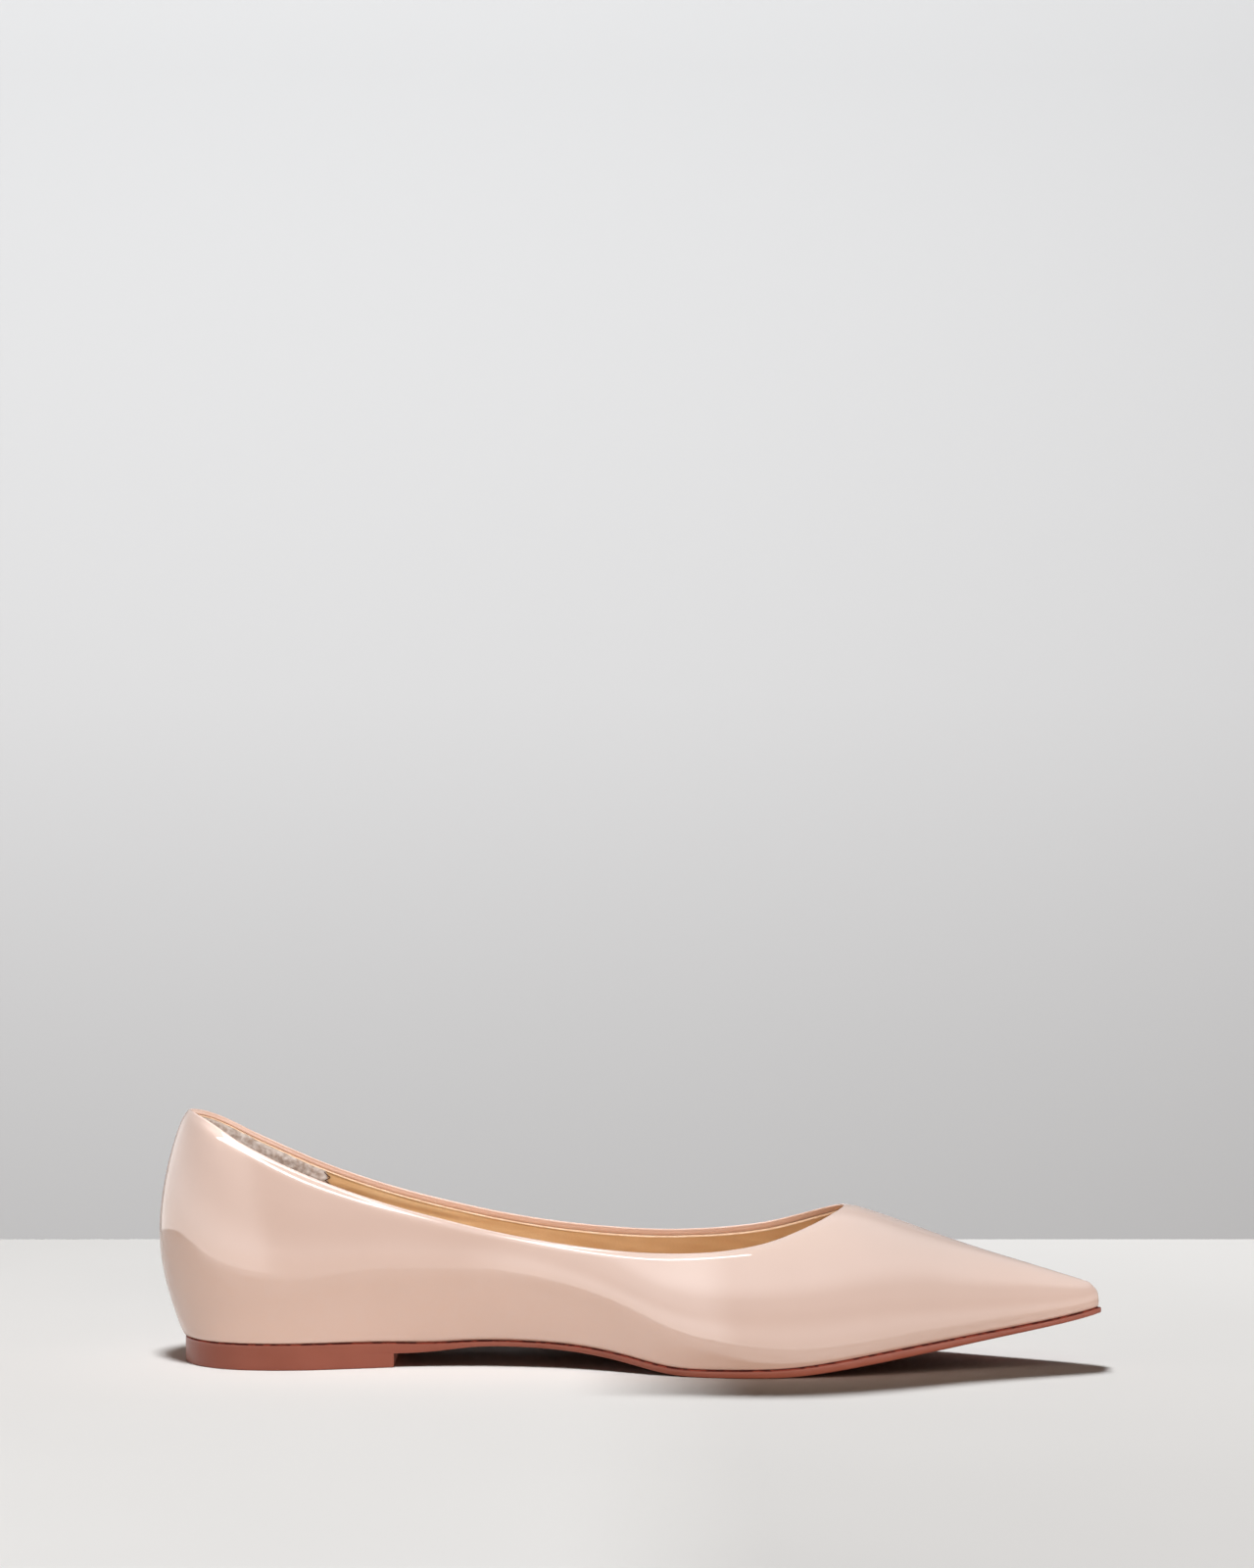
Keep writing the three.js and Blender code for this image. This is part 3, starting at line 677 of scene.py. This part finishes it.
def slab(name, layers, materials, top_place=0, across=14, half_steps=150):
    """A slab over the foot's outline. Each layer gives an outline's shift and a height."""
    u = np.linspace(0, LAST, half_steps + 1)
    ring_u = np.concatenate([-u, u[-2:0:-1]])
    points, faces, rims, places = [], [], [], []
    for shift, height, _ in layers:
        rim = outline(shift, ring_u)
        rim[:, 2] = height(rim[:, 0])
        rims.append(len(points) + np.arange(len(rim)))
        points += rim.tolist()
    size = len(ring_u)
    for layer, a, b in zip(layers[1:], rims, rims[1:]):
        for n in range(size):
            m = (n + 1) % size
            faces.append((int(a[n]), int(b[n]), int(b[m]), int(a[m])))
            places.append(layer[2])
    for rim, height, facing in ((rims[0], layers[0][1], 1), (rims[-1], layers[-1][1], -1)):
        lines = []
        for n in range(half_steps + 1):
            if n in (0, half_steps):
                lines.append([int(rim[n])])
                continue
            left, right = np.array(points[rim[n]]), np.array(points[rim[size - n]])
            line = [int(rim[n])]
            for i in range(1, across):
                p = left + (right - left) * i / across
                p[2] = height(p[0])
                line.append(len(points))
                points.append(p.tolist())
            lines.append(line + [int(rim[size - n])])
        for one, two in zip(lines, lines[1:]):
            for i in range(across):
                corners = [one[min(i, len(one) - 1)], one[min(i + 1, len(one) - 1)],
                           two[min(i + 1, len(two) - 1)], two[min(i, len(two) - 1)]]
                face = list(dict.fromkeys(corners))
                faces.append(tuple(face if facing < 0 else face[::-1]))
                places.append(top_place if facing > 0 else 0)
    return make_mesh(name, points, faces, materials, places)


# The sock's edge, as a share of the insole's inset and of its thickness.
SOCK_PROFILE = ((1.9, 1.0), (1.35, 0.98), (1.1, 0.9), (1.0, 0.75), (1.3, 0.3), (2.0, 0.0))


def insole_sock(leather):
    def inset(share):
        return lambda row: -WALL - INSOLE_INSET * share - (TOE_BOX_DEPTH if row[1] < 0 else 0.0)

    def level(share):
        return lambda x: sole_top(x) + 2 * CLEARANCE + MARGIN_THICKNESS + INSOLE_THICKNESS * share

    return slab("insole_sock", [(inset(r), level(h), 0) for r, h in SOCK_PROFILE], [leather])


# The outsole's edge, from its top ledge to its underside. Over the heel it runs down
# flush into the heel block, so only its front half has the lower rounding.
FLUSH_BEFORE = 0.26
SOLE_PROFILE = ((-0.06, 0.98, 1), (0.0, 0.9, 0), (0.04, 0.6, 0), (0.03, 0.35, 0),
                (-0.04, 0.16, 0), (-0.16, 0.05, 0), (-0.42, 0.0, 0))
# The join's layers and the outsole's top take the join's dark maroon: edge ink, made darker as painted
# shade of the crevice under the upper's feather.
JOIN_PROFILE = ((-1.8, 0.22), (-0.55, 0.22), (-0.22, 0.17), (-0.04, 0.03))
LEDGE_INSET = 0.22
SHARP_ANGLE = math.radians(50)


def tread_out(extra, lower):
    def shift(row):
        return tread(row) + (0.0 if lower and row[0] < FLUSH_BEFORE else extra)
    return shift


def sole_level(share):
    return lambda x: sole_bottom(x) + share * (sole_top(x) - sole_bottom(x))


def join_out(out):
    return lambda row: min(out, tread(row) - LEDGE_INSET)


def join_level(lift):
    return lambda x: sole_top(x) + lift


def outsole_slab(leather, join_ink_and_shade):
    layers = [(join_out(out), join_level(lift), 1) for out, lift in JOIN_PROFILE]
    layers += [(tread_out(out, share < 0.5), sole_level(share), place)
               for out, share, place in SOLE_PROFILE]
    piece = slab("outsole_slab", layers, [leather, join_ink_and_shade], top_place=1, across=16, half_steps=170)
    piece.data.set_sharp_from_angle(angle=SHARP_ANGLE)
    return piece


# The heel's edge, from the seat down: out of the sole's edge, and height.
HEEL_PROFILE = ((0.0, HEEL_LIFT), (0.0, 2.6), (0.0, 1.3), (-0.02, 0.5), (-0.1, 0.2),
                (-0.28, 0.04), (-0.45, 0.0))
HEEL_STEPS = 150
BREAST_STEPS = 24
BREAST_ROUND = 0.3
BREAST_MARGIN = 4


def heel_block(leather):
    rings = []
    for shift, z in HEEL_PROFILE:
        line = outline(tread_out(shift, False), FINE_U)
        breast = BREAST_AT + max(shift, -BREAST_ROUND)
        ends = []
        for part in (line[line[:, 1] < 0], line[line[:, 1] >= 0]):
            part = part[np.argsort(part[:, 0])]
            part = part[part[:, 0] < BREAST_AT + BREAST_MARGIN]
            ends.append(np.interp(breast, part[:, 0], part[:, 1]))
        rear = line[line[:, 0] < breast]
        rear = np.concatenate([[[breast, ends[0], 0]], rear, [[breast, ends[1], 0]]])
        length = np.concatenate([[0], np.cumsum(np.linalg.norm(np.diff(rear, axis=0), axis=1))])
        even = np.linspace(0, length[-1], HEEL_STEPS + 1)
        ring = np.stack([np.interp(even, length, rear[:, axis]) for axis in range(3)], axis=1)
        cut = np.linspace(ring[-1], ring[0], BREAST_STEPS + 2)[1:-1]
        ring = np.concatenate([ring, cut])
        ring[:, 2] = z
        rings.append(ring)
    size = len(rings[0])
    points = np.concatenate(rings)
    faces = grid_faces(len(rings), size, close_rows=False, close_columns=True)
    faces = [face[::-1] for face in faces]
    faces.append(tuple(reversed(range(size))))
    faces.append(tuple(range((len(rings) - 1) * size, len(rings) * size)))
    piece = make_mesh("heel_block", points, faces, [leather])
    piece.data.set_sharp_from_angle(angle=SHARP_ANGLE)
    return piece


# Materials
def linear(red, green, blue):
    """A colour given as screen values from 0 to 255, as linear light."""
    def one(c):
        c /= 255
        return c / 12.92 if c <= 0.04045 else ((c + 0.055) / 1.055) ** 2.4
    return one(red), one(green), one(blue), 1.0


def new_group(name, inputs, outputs):
    group = bpy.data.node_groups.new(name, "ShaderNodeTree")
    for label, kind, value in inputs:
        socket = group.interface.new_socket(name=label, in_out="INPUT", socket_type=kind)
        socket.default_value = value
    for label, kind in outputs:
        group.interface.new_socket(name=label, in_out="OUTPUT", socket_type=kind)
    nodes = group.nodes
    return group, nodes.new("NodeGroupInput"), nodes.new("NodeGroupOutput")


def wire(tree, *joins):
    """Each join names a node and its output, then a node and its input."""
    for giver, output, taker, socket in joins:
        tree.links.new(giver.outputs[output], taker.inputs[socket])


def mottle_group():
    """Slow change between two tones, by soft noise with a contrast of its own."""
    group, given, result = new_group(
        "mottle",
        [("Light Tone", "NodeSocketColor", (1, 1, 1, 1)), ("Dark Tone", "NodeSocketColor", (0, 0, 0, 1)),
         ("Scale", "NodeSocketFloat", 40.0), ("Detail", "NodeSocketFloat", 2.0),
         ("Low", "NodeSocketFloat", 0.35), ("High", "NodeSocketFloat", 0.65)],
        [("Color", "NodeSocketColor")])
    nodes = group.nodes
    place = nodes.new("ShaderNodeTexCoord")
    noise = nodes.new("ShaderNodeTexNoise")
    spread = nodes.new("ShaderNodeMapRange")
    tone = nodes.new("ShaderNodeMix")
    tone.data_type = "RGBA"
    wire(group, (place, "Object", noise, "Vector"), (given, "Scale", noise, "Scale"),
         (given, "Detail", noise, "Detail"), (noise, "Fac", spread, "Value"),
         (given, "Low", spread, "From Min"), (given, "High", spread, "From Max"),
         (spread, "Result", tone, "Factor"), (given, "Dark Tone", tone, "A"),
         (given, "Light Tone", tone, "B"), (tone, "Result", result, "Color"))
    return group


def relief_group():
    """Height of a noise, stretched along the shoe's axes."""
    group, given, result = new_group(
        "relief",
        [("Scale", "NodeSocketFloat", 100.0), ("Detail", "NodeSocketFloat", 2.0),
         ("Stretch", "NodeSocketVector", (1, 1, 1))],
        [("Height", "NodeSocketFloat")])
    nodes = group.nodes
    place = nodes.new("ShaderNodeTexCoord")
    scaled = nodes.new("ShaderNodeVectorMath")
    scaled.operation = "MULTIPLY"
    noise = nodes.new("ShaderNodeTexNoise")
    wire(group, (place, "Object", scaled, 0), (given, "Stretch", scaled, 1),
         (scaled, "Vector", noise, "Vector"), (given, "Scale", noise, "Scale"),
         (given, "Detail", noise, "Detail"), (noise, "Fac", result, "Height"))
    return group


def grain_group():
    """Height of a leather's pebbled grain, from the edges of small cells."""
    group, given, result = new_group("grain", [("Scale", "NodeSocketFloat", 900.0)],
                                     [("Height", "NodeSocketFloat")])
    nodes = group.nodes
    place = nodes.new("ShaderNodeTexCoord")
    cells = nodes.new("ShaderNodeTexVoronoi")
    cells.feature = "SMOOTH_F1"
    wire(group, (place, "Object", cells, "Vector"), (given, "Scale", cells, "Scale"),
         (cells, "Distance", result, "Height"))
    return group


MOTTLE = mottle_group()
RELIEF = relief_group()
GRAIN = grain_group()


class Finish:
    """A material under way: its Principled shader, and the shared groups placed in it."""

    def __init__(self, name):
        self.material = bpy.data.materials.new(name)
        self.material.use_nodes = True
        self.nodes = self.material.node_tree.nodes
        self.links = self.material.node_tree.links
        self.shader = self.nodes["Principled BSDF"]
        self.normal = None

    def group(self, tree, **values):
        node = self.nodes.new("ShaderNodeGroup")
        node.node_tree = tree
        for label, value in values.items():
            node.inputs[label.replace("_", " ")].default_value = value
        return node

    def set(self, **values):
        for label, value in values.items():
            self.shader.inputs[label.replace("_", " ")].default_value = value

    def mottled(self, light, dark, scale, detail=2.0, low=0.35, high=0.65):
        node = self.group(MOTTLE, Light_Tone=light, Dark_Tone=dark, Scale=scale, Detail=detail,
                          Low=low, High=high)
        self.links.new(node.outputs["Color"], self.shader.inputs["Base Color"])
        return node

    def raised(self, height, distance):
        """Add a bump over the ones before it; distance is in metres."""
        bump = self.nodes.new("ShaderNodeBump")
        bump.inputs["Strength"].default_value = 1.0
        bump.inputs["Distance"].default_value = distance
        self.links.new(height.outputs["Height"], bump.inputs["Height"])
        if self.normal:
            self.links.new(self.normal, bump.inputs["Normal"])
        self.normal = bump.outputs["Normal"]
        self.links.new(self.normal, self.shader.inputs["Normal"])


def nude_patent():
    finish = Finish("nude_patent")
    finish.mottled(linear(228, 187, 166), linear(224, 182, 160), 26.0)
    finish.set(Roughness=0.5, IOR=1.45, Specular_IOR_Level=0.25)
    finish.set(Coat_Weight=1.0, Coat_Roughness=0.03, Coat_IOR=2.3)
    finish.raised(finish.group(RELIEF, Scale=75.0, Detail=1.0), 0.00022)
    finish.raised(finish.group(RELIEF, Scale=380.0, Detail=2.0), 0.00002)
    return finish.material


def tan_lining():
    finish = Finish("tan_lining")
    finish.mottled(linear(234, 195, 148), linear(222, 178, 129), 60.0)
    finish.set(Roughness=0.5, Specular_IOR_Level=0.35)
    finish.raised(finish.group(RELIEF, Scale=180.0, Detail=3.0), 0.00012)
    finish.raised(finish.group(GRAIN, Scale=1500.0), 0.00003)
    return finish.material


def pale_cut_edge():
    finish = Finish("pale_cut_edge")
    finish.mottled(linear(250, 222, 192), linear(240, 206, 172), 500.0)
    finish.set(Roughness=0.7)
    finish.raised(finish.group(RELIEF, Scale=1800.0, Detail=2.0), 0.00005)
    return finish.material


def grip_suede():
    finish = Finish("grip_suede")
    finish.mottled(linear(214, 203, 196), linear(170, 150, 137), 650.0, detail=6.0, low=0.36, high=0.64)
    finish.set(Roughness=0.95, Specular_IOR_Level=0.1, Sheen_Weight=0.35, Sheen_Roughness=0.6)
    finish.raised(finish.group(RELIEF, Scale=900.0, Detail=5.0), 0.00035)
    return finish.material


def stitch_thread():
    finish = Finish("stitch_thread")
    finish.mottled(linear(98, 62, 40), linear(70, 42, 28), 900.0)
    finish.set(Roughness=0.7)
    finish.raised(finish.group(RELIEF, Scale=2500.0, Detail=1.0), 0.00004)
    return finish.material


def terracotta_sole():
    finish = Finish("terracotta_sole")
    finish.mottled(linear(146, 80, 62), linear(136, 72, 54), 55.0, detail=3.0)
    finish.set(Roughness=0.42, Specular_IOR_Level=0.35, Coat_Weight=0.25, Coat_Roughness=0.3)
    finish.raised(finish.group(RELIEF, Scale=900.0, Detail=2.0, Stretch=(1.0, 1.0, 0.15)), 0.00003)
    return finish.material


# The ledge at the join is painted darker than the sole: partly its edge ink, partly painted shade of the
# crevice between the upper and the sole.
def join_ink_and_shade():
    finish = Finish("join_ink_and_shade")
    finish.mottled(linear(156, 74, 58), linear(92, 38, 32), 350.0, detail=3.0, low=0.45, high=0.57)
    finish.set(Roughness=0.6, Specular_IOR_Level=0.1)
    finish.raised(finish.group(RELIEF, Scale=700.0, Detail=3.0), 0.00012)
    return finish.material


PATENT = nude_patent()
LINING_LEATHER = tan_lining()
CUT_EDGE = pale_cut_edge()
SUEDE = grip_suede()
THREAD = stitch_thread()
SOLE_LEATHER = terracotta_sole()
JOIN_INK_AND_SHADE = join_ink_and_shade()

# Pieces
upper = patent_skin(PATENT)
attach(upper, "root")
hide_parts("upper")

lining = lining_sheet(LINING_LEATHER, CUT_EDGE)
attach(lining, "root")

grip = grip_pad(SUEDE)
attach(grip, "root")

stitches = grip_stitches(THREAD)
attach(stitches, "root")

sock = insole_sock(LINING_LEATHER)
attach(sock, "root")
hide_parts("insole")

sole = outsole_slab(SOLE_LEATHER, JOIN_INK_AND_SHADE)
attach(sole, "root")
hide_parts("outsole")

heel = heel_block(SOLE_LEATHER)
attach(heel, "root")
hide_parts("heel")

# Stage: a white table top with its back edge behind the shoe, and a grey wall.
TABLE_BACK = 0.297
TABLE_FRONT = -0.35
TABLE_HALF = 2.5
TABLE_THICKNESS = 0.03
TABLE_THROWN = linear(166, 164, 162)
WALL_AT = 1.6
WALL_HALF = 1.2
WALL_THICKNESS = 0.02
WALL_FOOT, WALL_TOP = -1.2, 0.75
WALL_LOW, WALL_HIGH = -0.1, 0.6
WALL_MIDDLE = 0.43


def stage_box(name, low, high, material):
    mesh = bpy.data.meshes.new(name)
    shape = bmesh.new()
    bmesh.ops.create_cube(shape, size=1.0)
    for vertex in shape.verts:
        for axis in range(3):
            vertex.co[axis] = low[axis] + (vertex.co[axis] + 0.5) * (high[axis] - low[axis])
    shape.to_mesh(mesh)
    shape.free()
    thing = add_object(name, mesh)
    mesh.materials.append(material)
    return thing


def table_white():
    """White to the eye and in the mirror, and greyer where it throws light back."""
    finish = Finish("table_white")
    tone = finish.mottled(linear(226, 225, 224), linear(223, 222, 221), 4.0)
    path = finish.nodes.new("ShaderNodeLightPath")
    dim = finish.nodes.new("ShaderNodeMix")
    dim.data_type = "RGBA"
    dim.inputs["B"].default_value = TABLE_THROWN
    wire(finish.material.node_tree, (path, "Is Diffuse Ray", dim, "Factor"),
         (tone, "Color", dim, "A"), (dim, "Result", finish.shader, "Base Color"))
    finish.set(Roughness=0.9, Specular_IOR_Level=0.0)
    return finish.material


def wall_painted_light():
    """A wall in three soft tones by height, lighter low down and darker at the top: painted light that
    offsets the wall wash lamp's fall-off.
    """
    finish = Finish("wall_painted_light")
    nodes = finish.nodes
    place = nodes.new("ShaderNodeTexCoord")
    apart = nodes.new("ShaderNodeSeparateXYZ")
    span = nodes.new("ShaderNodeMapRange")
    span.inputs["From Min"].default_value = WALL_LOW
    span.inputs["From Max"].default_value = WALL_HIGH
    tone = nodes.new("ShaderNodeValToRGB")
    ramp = tone.color_ramp
    ramp.elements[0].color = linear(229, 231, 233)
    ramp.elements[1].color = linear(204, 206, 208)
    ramp.elements.new(WALL_MIDDLE).color = linear(227, 229, 231)
    wire(finish.material.node_tree, (place, "Object", apart, "Vector"),
         (apart, "Z", span, "Value"), (span, "Result", tone, "Fac"),
         (tone, "Color", finish.shader, "Base Color"))
    finish.set(Roughness=0.9)
    return finish.material


table_top = stage_box("table_top", (-TABLE_HALF, TABLE_FRONT, -TABLE_THICKNESS),
                      (TABLE_HALF, TABLE_BACK, 0.0), table_white())
wall_back = stage_box("back_wall", (-WALL_HALF, WALL_AT, WALL_FOOT),
                      (WALL_HALF, WALL_AT + WALL_THICKNESS, WALL_TOP), wall_painted_light())


def gathered(name, things):
    """A collection that names what a lamp lights, or what can shade it."""
    chosen = bpy.data.collections.new(name)
    for thing in things:
        chosen.objects.link(thing)
    return chosen


SHOE_PIECES = (upper, lining, grip, stitches, sock, sole, heel)
SOLID_THINGS = (*SHOE_PIECES, table_top, wall_back)
blockers = gathered("standing", SOLID_THINGS)
the_shoe = gathered("the_shoe", SHOE_PIECES)
the_sole = gathered("the_sole", (sole, heel))
the_wall = gathered("the_wall", (wall_back,))
the_table = gathered("the_table", (table_top,))


def softbox(name, place, target, size, radiance, lights=True, mirrored=True, only=None,
            shape="RECTANGLE"):
    """A flat lamp, by its size in metres and its surface's own brightness."""
    data = bpy.data.lights.new(name, "AREA")
    data.shape = shape
    data.size, data.size_y = size
    data.energy = math.pi * size[0] * size[1] * radiance
    lamp = add_object(name, data)
    lamp.location = place
    lamp.rotation_euler = (Vector(target) - Vector(place)).to_track_quat("-Z", "Y").to_euler()
    lamp.visible_camera = False
    lamp.visible_diffuse = lights
    lamp.visible_glossy = mirrored
    lamp.light_linking.blocker_collection = blockers
    if only is not None:
        lamp.light_linking.receiver_collection = only


softbox("front_fill", (-0.1, -1.58, 0.46), (-0.1, 0, 0.03), (2.0, 0.6), 4.9,
        mirrored=False, only=the_shoe)
softbox("low_fill", (0.40, -0.30, 0.06), (0.05, -0.03, 0.01), (0.3, 0.1), 3.5,
        mirrored=False, only=the_shoe)
softbox("low_sole_fill", (0.40, -0.26, 0.05), (0.05, -0.03, 0.01), (0.3, 0.1), 6.5,
        mirrored=False, only=the_sole)
softbox("back_key", (-0.5, 1.1, 1.4), (0, 0, 0.03), (0.5, 0.5), 6.0,
        mirrored=False, only=the_shoe)
softbox("topline_glint", (-0.09, -0.105, 0.20), (-0.09, -0.03, 0.02), (0.29, 0.034), 3.0,
        lights=False, shape="ELLIPSE")
softbox("table_sheen", (0, -0.225, 0.001), (0, -0.225, 1), (2.0, 0.25), 0.1, lights=False)
softbox("table_sheen_far", (0, -0.265, 0.002), (0, -0.265, 1), (2.0, 0.17), 0.25, lights=False)
softbox("inside_lamp", (-0.03, -0.012, 0.078), (-0.03, 0.04, 0.035), (0.17, 0.02), 2.8,
        mirrored=False, only=the_shoe)
softbox("wall_wash", (-0.3, 0.5, 1.1), (-0.3, WALL_AT, 0.15), (2.8, 0.5), 8.0,
        mirrored=False, only=the_wall)

# Two lamps share the table: the one behind lights it from the ball forward, and the
# one in front lights the rest, so that the shadow opens in front of the toe alone.
# Each has a level card that covers the other's part, at the same share of its height.
SHARE_AT = 0.008
CARD_SHARE = 0.04
CARD_THICKNESS = 0.002
LAMP_RADIUS = 0.6
LAMP_TINT = (0.98, 0.995, 1.0)


def table_lamp(name, back, height, power, card_low, card_high):
    data = bpy.data.lights.new(name, "POINT")
    data.energy = power
    data.color = LAMP_TINT
    data.shadow_soft_size = LAMP_RADIUS
    lamp = add_object(name, data)
    lamp.location = (SHARE_AT, back, height)
    lamp.visible_glossy = False
    level = CARD_SHARE * height
    card = stage_box(name + "_card", (*card_low, level),
                     (*card_high, level + CARD_THICKNESS), wall_back.active_material)
    card.visible_camera = False
    card.visible_diffuse = False
    card.visible_glossy = False
    lamp.light_linking.receiver_collection = the_table
    lamp.light_linking.blocker_collection = gathered(name + "_blockers", (*SOLID_THINGS, card))


table_lamp("behind", 7.0, 5.2, 4680.0, (-1.5, -0.15), (SHARE_AT, 0.75))
table_lamp("in_front", -2.0, 6.0, 1600.0, (SHARE_AT, -0.75), (1.5, 0.4))


# The room: its tones from the ground up as it is mirrored, its dim warm tone as it
# lights shadows, its strength for each of these and for the camera, and the share
# that is left of it from the middle on towards the toe.
ROOM_LOWEST = (0.54, 0.53, 0.52, 1)
ROOM_LEVELS = ((0.14, 0.57), (0.40, 0.45), (0.60, 0.52), (0.80, 0.86))
ROOM_HIGHEST = (1.0, 0.98, 0.95, 1)
AMBIENT_TONE = (1.0, 0.72, 0.54, 1)
WORLD_LIGHT = 0.1
WORLD_MIRRORED = 3.1
WORLD_SEEN = 1.2
FRONT_FROM, FRONT_TO = -0.25, 0.0
FRONT_SHARE = 0.72


def studio_world():
    """A bright room in mirrored light; in the shadows, a dim and warm one."""
    world = bpy.data.worlds.new("studio")
    world.use_nodes = True
    nodes = world.node_tree.nodes
    place = nodes.new("ShaderNodeTexCoord")
    apart = nodes.new("ShaderNodeSeparateXYZ")
    tone = nodes.new("ShaderNodeValToRGB")
    ramp = tone.color_ramp
    ramp.interpolation = "EASE"
    ramp.elements[0].position = 0.0
    ramp.elements[0].color = ROOM_LOWEST
    ramp.elements[1].position = 1.0
    ramp.elements[1].color = ROOM_HIGHEST
    for position, level in ROOM_LEVELS:
        ramp.elements.new(position).color = (level, level, level, 1)
    path = nodes.new("ShaderNodeLightPath")
    pick = nodes.new("ShaderNodeMix")
    pick.data_type = "RGBA"
    pick.inputs["A"].default_value = AMBIENT_TONE
    power = nodes.new("ShaderNodeMapRange")
    power.inputs["To Min"].default_value = WORLD_LIGHT
    power.inputs["To Max"].default_value = WORLD_MIRRORED
    seen = nodes.new("ShaderNodeMath")
    seen.operation = "MAXIMUM"
    along = nodes.new("ShaderNodeMapRange")
    along.interpolation_type = "SMOOTHSTEP"
    along.inputs["From Min"].default_value = FRONT_FROM
    along.inputs["From Max"].default_value = FRONT_TO
    along.inputs["To Min"].default_value = 1.0
    along.inputs["To Max"].default_value = FRONT_SHARE
    dimmed = nodes.new("ShaderNodeMath")
    dimmed.operation = "MULTIPLY"
    strength = nodes.new("ShaderNodeMath")
    strength.operation = "MULTIPLY_ADD"
    strength.inputs[1].default_value = WORLD_SEEN
    background = nodes["Background"]
    wire(world.node_tree, (place, "Generated", apart, "Vector"), (apart, "Z", tone, "Fac"),
         (path, "Is Glossy Ray", seen, 0), (path, "Is Camera Ray", seen, 1),
         (seen, "Value", pick, "Factor"), (tone, "Color", pick, "B"),
         (path, "Is Glossy Ray", power, "Value"), (apart, "X", along, "Value"),
         (power, "Result", dimmed, 0), (along, "Result", dimmed, 1),
         (path, "Is Camera Ray", strength, 0), (dimmed, "Value", strength, 2),
         (pick, "Result", background, "Color"), (strength, "Value", background, "Strength"))
    return world


bpy.context.scene.world = studio_world()
bpy.context.scene.view_settings.view_transform = "Standard"

# Camera: the photograph's frame is 1280 by 1600, with the horizon a little above
# its middle. Focal length and horizon are in pixels of that frame.
FRAME_WIDTH, FRAME_HEIGHT = 1280, 1600
FOCAL = 4533.0
HORIZON = 754.6
CAMERA_BACK = 1.240
CAMERA_HEIGHT = 0.173
CAMERA_ALONG = 0.1303
SENSOR = 36.0
camera_data = bpy.data.cameras.new("camera")
camera_data.sensor_fit = "HORIZONTAL"
camera_data.sensor_width = SENSOR
camera_data.lens = FOCAL / FRAME_WIDTH * SENSOR
camera = add_object("camera", camera_data)
camera.location = (CAMERA_ALONG + SHIFT[0], SHIFT[1] - CAMERA_BACK, CAMERA_HEIGHT)
pitch = math.atan((FRAME_HEIGHT / 2 - HORIZON) / FOCAL)
camera.rotation_euler = (math.pi / 2 - pitch, 0, 0)
bpy.context.scene.camera = camera

bpy.context.view_layer.update()
